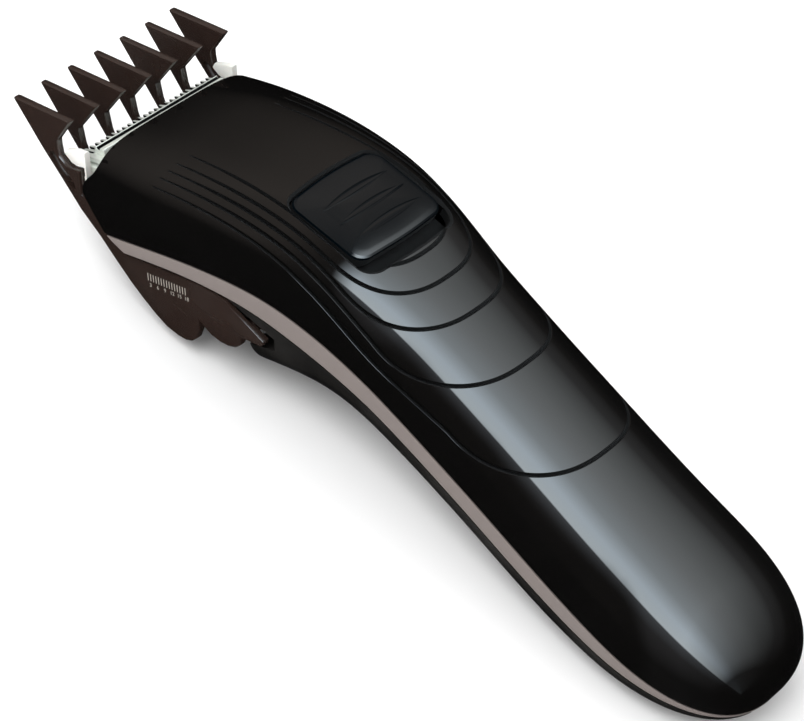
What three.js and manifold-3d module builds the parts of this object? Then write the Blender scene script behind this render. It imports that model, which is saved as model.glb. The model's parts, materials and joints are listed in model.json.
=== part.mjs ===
// Hair clipper: a bent, hollow handle in two shells with a trim band between them, a toothed cutting unit,
// a motor that swings a drive lever, a slide switch and a length comb that slides over the head.
// Units are millimetres. The body frame has X along the handle, towards the tail, and Z up out of the
// top shell.
// The head frame is the body frame turned by HEAD_TILT about Y: its X runs from the blade tips to the tail.
// The whole clipper then lies on its comb and its tail, and the origin is below the middle of its box.
import * as THREE from 'three';
import { mergeVertices } from 'three/addons/utils/BufferGeometryUtils.js';
import Module from 'manifold-3d';

// ---- driving dimensions ----
const HEAD_TILT = THREE.MathUtils.degToRad(34);
const BODY_LENGTH = 168.8;      // from the plane through the blade tips to the tail
const HEAD_LENGTH = 72;         // the part of it that keeps its length when the handle is made longer
const HANDLE_HALF_WIDTH = 20.6;
const HEAD_HALF_WIDTH = 25;
const HANDLE_CROWN = 14.4;      // height of the top shell over its lower edge, on the handle
const HEAD_CROWN = 19.4;
const HANDLE_LEVEL = 20;        // height of the top shell's lower edge on the handle
const HANDLE_BELLY = 9.4;       // depth of the bottom shell below the trim, on the handle
const HEAD_BELLY = 23;
const WALL = 2.2;               // shell wall
const GAP = 0.35;               // clearance between touching pieces
const TRIM_STEP = 0.5;          // how far the bottom shell sits inside the trim
const COMB_WALL = 1.9;
const COMB_RECESS = 4.1;        // how far the head sits inside the comb's outer wall
const CORE_RAISE = 3.5;         // and how much further it is raised over the length selector
const COMB_HALF_WIDTH = 23.3;
const COMB_TEETH = 7;
const COMB_TOOTH = 1.7;
const CUTTER_WIDTH = 41;
const CUTTER_TEETH = 26;
const CUTTER_STROKE = 1.04;     // to each side of the middle
const SWITCH_FRONT = 40.5;      // the switch recess along the body
const SWITCH_LENGTH = 22.5;
const SWITCH_HALF_WIDTH = 13;
const SWITCH_TRAVEL = 2.6;
const MOTOR_RADIUS = 9.5;
const MOTOR_LENGTH = 24;
const SHAFT_RADIUS = 1;
const ECCENTRICITY = 0.8;
const CRANK_PIN_RADIUS = 1.2;
const SCREW_RADIUS = 1.4;
const SCREW_HEAD_RADIUS = 2.7;
const LEAD_RADIUS = 0.8;

// ---- materials ----
const finish = (color, roughness, metalness = 0) => new THREE.MeshStandardMaterial({ color, roughness,
    metalness });
const glossBlack = finish(0x0b0b0c, 0.12);
const mattBlack = finish(0x141312, 0.45);
const silverPlastic = finish(0x9c918e, 0.35);
const slateGrey = finish(0x23282b, 0.35);
const smokedPlastic = finish(0x2a2120, 0.3);
const whitePlastic = finish(0xe8e8e4, 0.4);
const bladeSteel = finish(0xc9ccc8, 0.2, 1);
const springSteel = finish(0x9a9da0, 0.3, 1);
const motorSteel = finish(0x8d9296, 0.35, 1);
const brass = finish(0xb58b3c, 0.3, 1);
const boardGreen = finish(0x1d5a33, 0.5);
const redInsulation = finish(0xa01814, 0.5);
const blackInsulation = finish(0x101010, 0.5);

const wasm = await Module();
wasm.setup();

// ---- solids ----
function solid(geometry) {
  const bare = geometry.index ? geometry.toNonIndexed() : geometry.clone();
  bare.deleteAttribute('normal');
  bare.deleteAttribute('uv');
  const merged = mergeVertices(bare, 1e-4);
  return new wasm.Manifold(new wasm.Mesh({
    numProp: 3,
    vertProperties: new Float32Array(merged.attributes.position.array),
    triVerts: new Uint32Array(merged.index.array),
  }));
}

function geometryOf(made) {
  const mesh = made.getMesh();
  const stride = mesh.numProp;
  const position = new Float32Array(mesh.numVert * 3);
  for (let i = 0; i < mesh.numVert; i++) {
    position.set(mesh.vertProperties.subarray(i * stride, i * stride + 3), i * 3);
  }
  const geometry = new THREE.BufferGeometry();
  geometry.setAttribute('position', new THREE.BufferAttribute(position, 3));
  geometry.setIndex(new THREE.BufferAttribute(new Uint32Array(mesh.triVerts), 1));
  geometry.computeVertexNormals();
  return geometry;
}

// A prism across the part: the outline is in X and Z, and it runs from y0 to y1.
function prismY(outline, y0, y1) {
  const shape = new THREE.Shape(outline.map(([x, z]) => new THREE.Vector2(x, z)));
  const geometry = new THREE.ExtrudeGeometry(shape, { depth: y1 - y0, bevelEnabled: false });
  return geometry.rotateX(Math.PI / 2).translate(0, y1, 0);
}

// A prism that stands: the outline is in X and Y, and it runs from z0 to z1.
function prismZ(outline, z0, z1) {
  const shape = new THREE.Shape(outline.map(([x, y]) => new THREE.Vector2(x, y)));
  return new THREE.ExtrudeGeometry(shape, { depth: z1 - z0, bevelEnabled: false }).translate(0, 0, z0);
}

function block(x0, x1, y0, y1, z0, z1) {
  const geometry = new THREE.BoxGeometry(x1 - x0, y1 - y0, z1 - z0);
  return geometry.translate((x0 + x1) / 2, (y0 + y1) / 2, (z0 + z1) / 2);
}

function rodX(radius, x0, x1, y, z, sides = 20) {
  return new THREE.CylinderGeometry(radius, radius, x1 - x0,
      sides).rotateZ(-Math.PI / 2).translate((x0 + x1) / 2, y, z);
}

function rodZ(radius, z0, z1, x, y, sides = 20) {
  return new THREE.CylinderGeometry(radius, radius, z1 - z0, sides).rotateX(Math.PI / 2).translate(x, y,
      (z0 + z1) / 2);
}

// Rings of points, all of one length, joined into a closed skin.
function loft(rings) {
  const count = rings[0].length;
  const position = rings.flat().flatMap((p) => [p.x, p.y, p.z]);
  const index = [];
  for (let i = 0; i + 1 < rings.length; i++) {
    for (let j = 0; j < count; j++) {
      const a = i * count + j;
      const b = i * count + (j + 1) % count;
      index.push(a, b, a + count, b, b + count, a + count);
    }
  }
  for (const [ring, first, turn] of [[rings[0], 0, 1], [rings.at(-1), (rings.length - 1) * count, -1]]) {
    const middle = ring.reduce((sum, p) => sum.add(p), new THREE.Vector3()).divideScalar(count);
    const centre = position.length / 3;
    position.push(middle.x, middle.y, middle.z);
    for (let j = 0; j < count; j++) {
      const pair = [first + j, first + (j + 1) % count];
      index.push(centre, ...(turn > 0 ? pair.reverse() : pair));
    }
  }
  const geometry = new THREE.BufferGeometry();
  geometry.setAttribute('position', new THREE.Float32BufferAttribute(position, 3));
  geometry.setIndex(index);
  return geometry;
}

// A smooth curve through a few knots [x, value].
function curveThrough(knots) {
  const slope = knots.map((k, i) => {
    const before = knots[Math.max(i - 1, 0)];
    const after = knots[Math.min(i + 1, knots.length - 1)];
    return (after[1] - before[1]) / (after[0] - before[0]);
  });
  return (x) => {
    if (x <= knots[0][0]) return knots[0][1] + slope[0] * (x - knots[0][0]);
    if (x >= knots.at(-1)[0]) return knots.at(-1)[1];
    const i = knots.findIndex((k) => k[0] > x) - 1;
    const span = knots[i + 1][0] - knots[i][0];
    const t = (x - knots[i][0]) / span;
    const [p, q, m, n] = [knots[i][1], knots[i + 1][1], slope[i] * span, slope[i + 1] * span];
    return p * (2 * t ** 3 - 3 * t * t + 1) + m * (t ** 3 - 2 * t * t + t)
      + q * (3 * t * t - 2 * t ** 3) + n * (t ** 3 - t * t);
  };
}

// ---- the body's outer form, in the body frame ----
const onHandle = (fraction) => HEAD_LENGTH + fraction * (BODY_LENGTH - HEAD_LENGTH);
const widthKnots = curveThrough([
  [0, HEAD_HALF_WIDTH - 1.8], [17, HEAD_HALF_WIDTH], [34, HEAD_HALF_WIDTH - 0.5],
  [57, HANDLE_HALF_WIDTH + 1.7], [onHandle(0.09), HANDLE_HALF_WIDTH], [onHandle(0.69),
      HANDLE_HALF_WIDTH + 0.2],
]);
const crownKnots = curveThrough([
  [0, HEAD_CROWN], [17, HEAD_CROWN - 0.4], [40.5, HANDLE_CROWN + 2.3],
  [64, HANDLE_CROWN + 0.4], [onHandle(0.13), HANDLE_CROWN], [onHandle(0.65), HANDLE_CROWN - 0.3],
]);
const levelKnots = curveThrough([
  [0, HANDLE_LEVEL - 34.3], [17, HANDLE_LEVEL - 22], [33.8, HANDLE_LEVEL - 10.8],
  [47.3, HANDLE_LEVEL - 4.1], [59, HANDLE_LEVEL - 1], [72.6, HANDLE_LEVEL],
  [onHandle(0.3), HANDLE_LEVEL - 0.3], [onHandle(0.65), HANDLE_LEVEL - 1],
      [BODY_LENGTH, HANDLE_LEVEL + 1.2],
]);
const trimKnots = curveThrough([
  [0, 3.6], [34, 4.2], [59, 5.4], [onHandle(0.13), 4.4], [onHandle(0.65), 3.9], [BODY_LENGTH, 1.2],
]);
const bellyKnots = curveThrough([
  [0, HEAD_BELLY - 2], [34, HEAD_BELLY], [54, HEAD_BELLY - 5],
  [71, HANDLE_BELLY + 1.6], [onHandle(0.13), HANDLE_BELLY], [onHandle(0.65), HANDLE_BELLY - 0.8],
]);
const squareness = curveThrough([[17, 4.2], [47, 3.2], [onHandle(0.04), 2.3], [BODY_LENGTH, 2.3]]);

// Goes from 1 at start to 0 at the tail, as a rounded end does.
function roundedEnd(x, start, power) {
  const t = THREE.MathUtils.clamp((x - onHandle(start)) / (BODY_LENGTH - onHandle(start)), 0, 0.9999);
  return (1 - t ** power) ** (1 / power);
}
const halfWidth = (x) => widthKnots(x) * roundedEnd(x, 0.69, 2.5);
const topEdge = (x) => levelKnots(x);
const crown = (x) => topEdge(x) + crownKnots(x) * roundedEnd(x, 0.62, 2.3);
const trimEdge = (x) => topEdge(x) - trimKnots(x);
const belly = (x) => trimEdge(x) - bellyKnots(x) * roundedEnd(x, 0.51, 2.2);

// Half a superellipse from one side to the other: side +1 is the top half and -1 the bottom half.
function arch(x, width, base, height, power, side, steps) {
  return Array.from({ length: steps + 1 }, (_, i) => {
    const angle = (Math.PI * i) / steps;
    const [c, s] = [Math.cos(angle) * side, Math.sin(angle)];
    return new THREE.Vector3(
      x, width * Math.sign(c) * Math.abs(c) ** (2 / power),
          base + side * height * Math.abs(s) ** (2 / power));
  });
}

// The body's skin, moved in by inset at the sides and the crown and by bellyInset at the belly.
function bodySkin(inset, bellyInset, steps, stations) {
  const first = -4;
  const last = BODY_LENGTH - inset - 0.05;
  return loft(Array.from({ length: stations + 1 }, (_, i) => {
    const x = first + (last - first) * Math.sin((Math.PI / 2) * (i / stations) ** 0.85);
    const width = Math.max(halfWidth(x) - inset, 0.2);
    const up = Math.max(crown(x) - topEdge(x) - inset, 0.1);
    const down = Math.max(trimEdge(x) - belly(x) - bellyInset, 0.1);
    return [
      ...arch(x, width, topEdge(x), up, squareness(x), 1, steps),
      ...arch(x, Math.max(width - TRIM_STEP, 0.1), trimEdge(x), down, squareness(x), -1, steps),
    ];
  }));
}

const STATIONS = Array.from({ length: 29 }, (_, i) => -8 + (i * (BODY_LENGTH + 12)) / 28);
const farUp = 120;
function above(edge, offset) {
  return prismY([...STATIONS.map((x) => [x, edge(x) + offset]), [STATIONS.at(-1), farUp], [STATIONS[0],
      farUp]], -60, 60);
}
function below(edge, offset) {
  const line = STATIONS.map((x) => [x, edge(x) + offset]).reverse();
  return prismY([...line, [STATIONS[0], -farUp], [STATIONS.at(-1), -farUp]], -60, 60);
}

// ---- frames ----
const headToBody = new THREE.Matrix4().makeRotationY(-HEAD_TILT);
const fromHead = (geometry) => solid(geometry.applyMatrix4(headToBody));

// Everything in front of the head's opening: the bottom shell's is straight, the top shell's swells at
// its sides.
const OPENING_FRONT = 11;
const openingAt = (b) => OPENING_FRONT + (4.5 - b) * 0.22;
const frontCut = fromHead(prismY([[-40, 40], [-40, -60], [openingAt(-60), -60], [openingAt(40), 40]],
    -60, 60));
const OPENING = [[11.6, 40], [11.6, 9], [11, 4.5], [11.3, 2.4], [11.1, 0.9], [10.5, -0.2], [9.2, -1.4],
  [8.3, -3], [8.9, -4.6], [11, -6.9], [14.4, -11], [17, -13.2], [20.6, -15.6], [24, -22], [26, -60]];
const mouthCut = fromHead(prismY([[-40, 40], [-40, -60], ...[...OPENING].reverse()], -60, 60));
const CHIN = [[10, -8], [14.3, -14], [18, -18.5], [22, -22.5], [27, -27], [31, -29.5]];
const chinCut = fromHead(prismY([...CHIN, [31, -70], [-40, -70], [-40, -8]], -60, 60));
const CHIN_INSIDE = [[-40, -6.2], [15.6, -6.2], [17.7, -14], [20.4, -17.2], [24, -21], [29, -25.4]];
const chinFill = fromHead(prismY([...CHIN_INSIDE, [29, -70], [-40, -70]], -60, 60));
const outer = solid(bodySkin(0, 0, 16, 34));
const cavity = solid(bodySkin(WALL, WALL, 10, 20));
const headCavity = solid(bodySkin(COMB_RECESS + WALL, COMB_RECESS + CORE_RAISE + WALL, 10, 20));
const headCore = solid(bodySkin(COMB_RECESS, COMB_RECESS + CORE_RAISE, 12, 30));
// Where the head is narrowed so that the comb can slide over it.
const combSpace = fromHead(prismY([
  [-40, -10], [43.4, -10], [43.4, -17], [53.2, -23], [52.8, -25.8], [46.6, -26.2], [46.6, -70], [-40, -70],
], -60, 60));

// ---- places shared by several pieces ----
const switchMiddle = SWITCH_FRONT + SWITCH_LENGTH / 2;
const switchSlope = Math.atan2(crown(switchMiddle + 6) - crown(switchMiddle - 6), 12);
const bossRadius = SCREW_RADIUS + 2.1;
const screwSide = HANDLE_HALF_WIDTH - WALL - bossRadius - 1.3;
const screwPlaces = [[78, screwSide], [78, -screwSide], [onHandle(0.66), 0]];
// The bottom shell's surface at a distance y from the middle.
function underside(x, y) {
  const across = Math.abs(y) / (halfWidth(x) - TRIM_STEP);
  const power = squareness(x);
  return trimEdge(x) - (trimEdge(x) - belly(x)) * (1 - across ** power) ** (1 / power);
}
const screwSeat = (x, y) => underside(x, y) + 3.6;
const screwTop = (x) => topEdge(x) + 4;
const boardPosts = [[84, 6.5], [84, -6.5], [106, 6.5], [106, -6.5]];
const BOARD = { x0: 63, x1: 118, z0: 19.6, z1: 21.2, halfWidth: 8.8 };
const BRACKET = { x0: 26.6, x1: 29, floor: -24.6 };

const named = (group, name, made, material) => {
  const mesh = new THREE.Mesh(made instanceof THREE.BufferGeometry ? made : geometryOf(made), material);
  mesh.name = name;
  group.add(mesh);
  return mesh;
};

const body = new THREE.Group();
const head = new THREE.Group();
head.rotation.y = -HEAD_TILT;
body.add(head);

// A block that follows the switch's slope. Its x runs from the middle of the recess.
function switchPiece(geometry) {
  return solid(geometry.rotateY(-switchSlope).translate(switchMiddle, 0, crown(switchMiddle)));
}

// ---- casing ----
function roundedOutline(x0, x1, halfY, radius, steps = 5) {
  const corners = [[x1 - radius, halfY - radius, 0], [x0 + radius, halfY - radius, 1],
    [x0 + radius, -halfY + radius, 2], [x1 - radius, -halfY + radius, 3]];
  return corners.flatMap(([x, y, quarter]) => Array.from({ length: steps + 1 }, (_, i) => {
    const angle = (Math.PI / 2) * (quarter + i / steps);
    return [x + radius * Math.cos(angle), y + radius * Math.sin(angle)];
  }));
}

function topShell() {
  let made = outer.subtract(cavity).intersect(solid(above(topEdge, GAP / 2))).subtract(mouthCut);
  const recess = roundedOutline(-SWITCH_LENGTH / 2, SWITCH_LENGTH / 2, SWITCH_HALF_WIDTH, 3.5);
  made = made.subtract(switchPiece(prismZ(recess, -9, 12)));
  for (const [x, y] of screwPlaces) {
    const boss = solid(rodZ(bossRadius, topEdge(x) + GAP, crown(x) - 0.6, x, y, 16)).intersect(outer);
    made = made.add(boss).subtract(solid(rodZ(SCREW_RADIUS + GAP, topEdge(x) - 1, screwTop(x) + 1, x, y,
        12)));
  }
  return made;
}

function sideTrim() {
  return outer.subtract(cavity).intersect(solid(below(topEdge, -GAP / 2)))
    .intersect(solid(above(trimEdge, GAP / 2))).subtract(mouthCut);
}

// The power inlet is measured from the middle of the tail's pad, along and above the surface the
// clipper lies on.
const INLET = { back: -4, floor: 1, ceiling: 5.3, halfWidth: 4.4, wall: 0.95, pinRadius: 0.75,
    pinSide: 2.2 };
const inletMiddle = (INLET.floor + INLET.ceiling) / 2;
const railAt = { from: 18, to: 40, z0: -21, z1: -19, reach: 21.9 };
function bottomShell() {
  const behindJoint = fromHead(prismY([[57, 60], [57, -80], [200, -80], [200, 60]], -60, 60));
  const hollow = headCavity.subtract(chinFill).add(cavity.intersect(behindJoint));
  let made = outer.subtract(combSpace.subtract(headCore));
  for (const side of [-1, 1]) {
    const [y0, y1] = side > 0 ? [18, railAt.reach] : [-railAt.reach, -18];
    made = made.add(fromHead(block(railAt.from, railAt.to, y0, y1, railAt.z0, railAt.z1)));
  }
  made = made.subtract(hollow);
  made = made.intersect(solid(below(trimEdge, -GAP / 2))).subtract(frontCut).subtract(chinCut);
  for (const [x, y] of screwPlaces) {
    const boss = solid(rodZ(bossRadius + 0.6, belly(x) + 0.4, topEdge(x) - GAP, x, y, 16)).intersect(outer);
    made = made.add(boss);
    made = made.subtract(solid(rodZ(SCREW_HEAD_RADIUS + GAP, belly(x) - 6, screwSeat(x, y) + GAP, x, y,
        16)));
    made = made.subtract(solid(rodZ(SCREW_RADIUS + GAP, belly(x), topEdge(x) + 1, x, y, 12)));
  }
  for (const [x, y] of boardPosts) {
    made = made.add(solid(rodZ(1.8, belly(x) + 0.5, BOARD.z0 - GAP, x, y, 12)).intersect(outer));
  }
  for (const side of [-1, 1]) {
    const rib = fromHead(block(32, 44, side * 7 - 0.8, side * 7 + 0.8, -40, BRACKET.floor - GAP));
    made = made.add(rib.intersect(headCore));
  }
  const half = INLET.halfWidth + INLET.wall + GAP;
  const inlet = fromRest(block(INLET.back - GAP, 45, -half, half, -5, INLET.ceiling + INLET.wall + GAP));
  const pinRoom = fromRest(block(INLET.back - 4.6, INLET.back, -half, half, inletMiddle - 1.3,
      INLET.ceiling + 6));
  made = made.subtract(inlet).subtract(pinRoom);
  return made.subtract(restCut);
}

// ---- how the clipper lies: on the comb's two heels and on a pad under the tail ----
const COMB_HEEL = { a: 31, b: -33.6 };
const heelInBody = new THREE.Vector3(COMB_HEEL.a, 0, COMB_HEEL.b).applyMatrix4(headToBody);
const padX = onHandle(0.8);
const padZ = belly(padX) + 0.45;
const restTilt = Math.atan2(padZ - heelInBody.z, padX - heelInBody.x);
const restPlane = (x) => padZ + (x - padX) * Math.tan(restTilt);
const restToBody = new THREE.Matrix4().makeTranslation(padX, 0, padZ)
  .multiply(new THREE.Matrix4().makeRotationY(-restTilt));
const fromRest = (geometry) => solid(geometry.applyMatrix4(restToBody));
const restCut = solid(prismY([[-60, restPlane(-60)], [-60, -90], [230, -90],
    [230, restPlane(230)]].reverse(), -60, 60));
const restCutHead = solid(prismY([[-60, restPlane(-60)], [-60, -90], [230, -90],
    [230, restPlane(230)]].reverse(), -60, 60)
  .applyMatrix4(headToBody.clone().invert()));

named(body, 'top_shell', topShell(), glossBlack);
named(body, 'side_trim', sideTrim(), silverPlastic);
named(body, 'bottom_shell', bottomShell(), mattBlack);

// ---- casing screws ----
screwPlaces.forEach(([x, y], i) => {
  const headPart = solid(rodZ(SCREW_HEAD_RADIUS, screwSeat(x, y) - 1.9, screwSeat(x, y), x, y, 16));
  const shank = solid(rodZ(SCREW_RADIUS, screwSeat(x, y) - 0.5, screwTop(x), x, y, 12));
  const slot = [[-1.7, 1.7, -0.35, 0.35], [-0.35, 0.35, -1.7, 1.7]].map(([x0, x1, y0, y1]) =>
    solid(block(x + x0, x + x1, y + y0, y + y1, screwSeat(x, y) - 3, screwSeat(x, y) - 0.9)));
  named(body, `casing_screw_${i + 1}`, headPart.add(shank).subtract(slot[0]).subtract(slot[1]),
      springSteel);
});

// ---- slide switch ----
function switchButton() {
  const plan = roundedOutline(-SWITCH_LENGTH / 2 + GAP, SWITCH_LENGTH / 2 - SWITCH_TRAVEL - GAP,
      SWITCH_HALF_WIDTH - GAP, 3.2);
  const lift = 0.6;
  const skin = solid(prismZ(plan, -14, 14).rotateY(-switchSlope).translate(switchMiddle, 0,
      crown(switchMiddle)));
  const cap = solid(bodySkin(-lift, 0, 16, 34)).subtract(solid(bodySkin(WALL - 0.4, WALL, 10,
      20))).intersect(skin);
  const ridges = [-4.6, -0.8, 3].map((x) =>
    switchPiece(new THREE.CylinderGeometry(0.75, 0.75, 15, 10).translate(x - 1.2, 0, lift + 0.25)));
  return ridges.reduce((sum, ridge) => sum.subtract(ridge), cap);
}
named(body, 'switch_button', switchButton(), slateGrey);

const KNOB = { x0: 65.4, x1: 67, halfWidth: 1.1, top: 26.8 };
const carriageTop = -WALL - 0.9;
function switchCarriage() {
  const profile = [[-7.3, 0], [6.5, 0], [6.5, -2.6], [18.6, -2.6], [18.6, -3.9], [5.2, -3.9],
      [5.2, -1.3], [-7.3, -1.3]];
  const plate = switchPiece(prismY(profile, -8, 8).translate(0, 0, carriageTop));
  const fork = solid(block(KNOB.x0 - 1.8, KNOB.x1 + 1.8, -2, 2, KNOB.top - 1.4, KNOB.top + 2.4))
    .subtract(solid(block(KNOB.x0 - GAP, KNOB.x1 + GAP, -3, 3, 20, KNOB.top + 0.4)));
  const sides = [-1, 1].map((side) => switchPiece(block(8, 20, side * 6 - 3, side * 6 + 3, -12, 0)));
  return plate.subtract(sides[0]).subtract(sides[1]).add(fork);
}
named(body, 'switch_carriage', switchCarriage(), slateGrey);

// ---- circuit board and what stands on it ----
function circuitBoard() {
  return solid(block(BOARD.x0, BOARD.x1, -BOARD.halfWidth, BOARD.halfWidth, BOARD.z0, BOARD.z1));
}
named(body, 'circuit_board', circuitBoard(), boardGreen);
const onBoard = BOARD.z1 + GAP;
function slideSwitch() {
  const slot = solid(block(KNOB.x0 - GAP, KNOB.x1 + SWITCH_TRAVEL + GAP, -KNOB.halfWidth - GAP,
      KNOB.halfWidth + GAP,
    onBoard + 1.6, onBoard + 9));
  return solid(block(63.4, 74, -3.4, 3.4, onBoard, onBoard + 3.6)).subtract(slot);
}
named(body, 'slide_switch_knob', solid(block(KNOB.x0, KNOB.x1, -KNOB.halfWidth, KNOB.halfWidth,
    onBoard + 2, KNOB.top)), whitePlastic);
named(body, 'slide_switch', slideSwitch(), blackInsulation);
named(body, 'capacitor', solid(rodX(3.8, 84, 98, 0, onBoard + 3.9, 18)), slateGrey);
named(body, 'rectifier', solid(block(102, 109, -3.2, 3.2, onBoard, onBoard + 2.6)), blackInsulation);
named(body, 'switch_detent_spring', solid(block(76, 82, -3, 3, onBoard, onBoard + 0.5))
  .add(solid(prismY([[76, onBoard + 0.2], [77.4, onBoard + 0.2], [79.5, onBoard + 2.4],
      [78.6, onBoard + 2.4]], -3, 3))), springSteel);

// ---- power inlet ----
function powerInlet() {
  const { back, floor, ceiling, halfWidth: half, wall } = INLET;
  const liner = fromRest(block(back, 45, -half - wall, half + wall, floor - wall, ceiling + wall));
  const hole = fromRest(block(back + 1.6, 50, -half, half, floor, ceiling));
  const inside = solid(bodySkin(0.25, 0.25, 12, 34)).intersect(solid(below(trimEdge, -GAP)));
  let made = liner.subtract(hole).intersect(inside);
  for (const side of [-1, 1]) {
    made = made.subtract(fromRest(rodX(INLET.pinRadius + GAP, back - 2, back + 4, side * INLET.pinSide,
        inletMiddle, 10)));
  }
  return made;
}
named(body, 'power_inlet', powerInlet(), blackInsulation);
for (const [name, side] of [['inlet_pin_left', -1], ['inlet_pin_right', 1]]) {
  const pin = rodX(INLET.pinRadius, INLET.back - 2.6, INLET.back + 4.4, side * INLET.pinSide,
      inletMiddle, 10);
  named(body, name, fromRest(pin), brass);
}

// ---- motor, eccentric and drive lever, in the head frame ----
const AXIS_Z = -14;
const MOTOR_FRONT = 29.4;
const PIVOT = 18.5;
const FINGER = 12;
const PIN_MIDDLE = 23.5;
const motorBack = MOTOR_FRONT + MOTOR_LENGTH;
function motorCan() {
  const flats = solid(block(MOTOR_FRONT - 1, motorBack, -MOTOR_RADIUS - 1, MOTOR_RADIUS + 1, AXIS_Z - 8,
      AXIS_Z + 8.6));
  const can = solid(rodX(MOTOR_RADIUS, MOTOR_FRONT, motorBack - 3, 0, AXIS_Z, 28)).intersect(flats);
  return can.subtract(solid(rodX(SHAFT_RADIUS + GAP, MOTOR_FRONT - 1, MOTOR_FRONT + 8, 0, AXIS_Z, 12)));
}
named(head, 'motor_can', motorCan(), motorSteel);
named(head, 'motor_end_cap', solid(rodX(MOTOR_RADIUS - 0.6, motorBack - 3 + GAP, motorBack - 0.4, 0,
    AXIS_Z, 24))
  .intersect(solid(block(MOTOR_FRONT, motorBack, -20, 20, AXIS_Z - 7.6, AXIS_Z + 8.2))), whitePlastic);
for (const [name, side] of [['motor_terminal_left', -1], ['motor_terminal_right', 1]]) {
  named(head, name, solid(block(motorBack - 0.05, motorBack + 2.4, side * 5 - 1.2, side * 5 + 1.2,
      AXIS_Z - 0.3, AXIS_Z + 0.3)), brass);
}
named(head, 'motor_shaft', solid(rodX(SHAFT_RADIUS, 28.8, MOTOR_FRONT + 7.6, 0, AXIS_Z, 12)), springSteel);
function eccentricCam() {
  const disc = solid(rodX(3, 25.4, 28.5, 0, AXIS_Z, 20));
  return disc.add(solid(rodX(CRANK_PIN_RADIUS, 22, 25.6, 0, AXIS_Z + ECCENTRICITY, 14)));
}
named(head, 'eccentric_cam', eccentricCam(), whitePlastic);

function driveLever() {
  const slotHalf = CRANK_PIN_RADIUS + 2 * ECCENTRICITY + GAP;
  const armFloor = -9.6;
  const armTop = -7.6;
  let made = solid(prismZ([[FINGER - 1.9, -1.9], [PIVOT - 3, -3.2], [PIN_MIDDLE + 1.4, -slotHalf - 1.7],
    [PIN_MIDDLE + 1.4, slotHalf + 1.7], [PIVOT - 3, 3.2], [FINGER - 1.9, 1.9]], armFloor, armTop));
  made = made.add(solid(rodZ(3.4, armFloor - 0.9, armTop + 0.9, PIVOT, 0, 20)));
  made = made.add(solid(rodZ(1.2, armTop - 0.5, 0.6, FINGER, 0, 14)));
  for (const side of [-1, 1]) {
    const [y0, y1] = side > 0 ? [slotHalf, slotHalf + 1.6] : [-slotHalf - 1.6, -slotHalf];
    made = made.add(solid(block(PIN_MIDDLE - 1.2, PIN_MIDDLE + 1.2, y0, y1, AXIS_Z - 3.6, armFloor + 0.5)));
  }
  return made.subtract(solid(rodZ(1.5 + GAP, -20, 0, PIVOT, 0, 16)));
}
named(head, 'drive_lever', driveLever(), whitePlastic);
named(head, 'lever_pivot_pin', solid(rodZ(1.5, -12.6, -5.9, PIVOT, 0, 16)), springSteel);

function motorBracket() {
  const wallTop = AXIS_Z + 7.8;
  let made = solid(prismY([[BRACKET.x0, wallTop], [BRACKET.x0, BRACKET.floor + 3],
      [BRACKET.x0 + 3.2, BRACKET.floor],
    [motorBack + 1.6, BRACKET.floor], [motorBack + 1.6, BRACKET.floor + 1.6],
        [BRACKET.x1 + 1, BRACKET.floor + 1.6],
    [BRACKET.x1, BRACKET.floor + 2.6], [BRACKET.x1, wallTop]], -10, 10));
  made = made.add(solid(block(motorBack + 0.3, motorBack + 1.8, -3, 3, BRACKET.floor, AXIS_Z - 2)));
  made = made.add(solid(block(PIVOT - 2.1, BRACKET.x0 + 0.4, -2.1, 2.1, -13.4, -11))
    .subtract(solid(block(PIN_MIDDLE - 1.9, BRACKET.x0 - 0.6, -3, 3, -20, -8))));
  const bridge = [-1, 1].map((side) => {
    const [y0, y1] = side > 0 ? [8.6, 10] : [-10, -8.6];
    return solid(block(PIVOT - 2.1, BRACKET.x0 + 0.4, y0, y1, -13.4, -11));
  });
  made = made.add(bridge[0]).add(bridge[1]).add(solid(block(PIVOT - 2.1, PIVOT + 2.1, -10, 10, -13.4,
      -11)));
  made = made.subtract(solid(rodX(3 + 0.5, BRACKET.x0 - 4, BRACKET.x1 + 1, 0, AXIS_Z, 20)));
  made = made.subtract(solid(rodZ(1.5 + GAP, -13, -8, PIVOT, 0, 16)));
  for (const side of [-1, 1]) {
    made = made.subtract(solid(rodX(0.9 + GAP, BRACKET.x0 - 1, BRACKET.x1 + 1, side * 6.6, AXIS_Z, 12)));
  }
  return made.subtract(solid(rodX(MOTOR_RADIUS + GAP, MOTOR_FRONT - 0.2, motorBack, 0, AXIS_Z, 28)));
}
named(head, 'motor_bracket', motorBracket(), whitePlastic);
for (const [name, side] of [['motor_screw_left', -1], ['motor_screw_right', 1]]) {
  const pin = solid(rodX(0.9, BRACKET.x0 - 0.6, BRACKET.x1, side * 6.6, AXIS_Z, 12));
  named(head, name, pin.add(solid(rodX(1.7, BRACKET.x0 - 1.6, BRACKET.x0 - GAP, side * 6.6, AXIS_Z,
      14))), springSteel);
}

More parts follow.
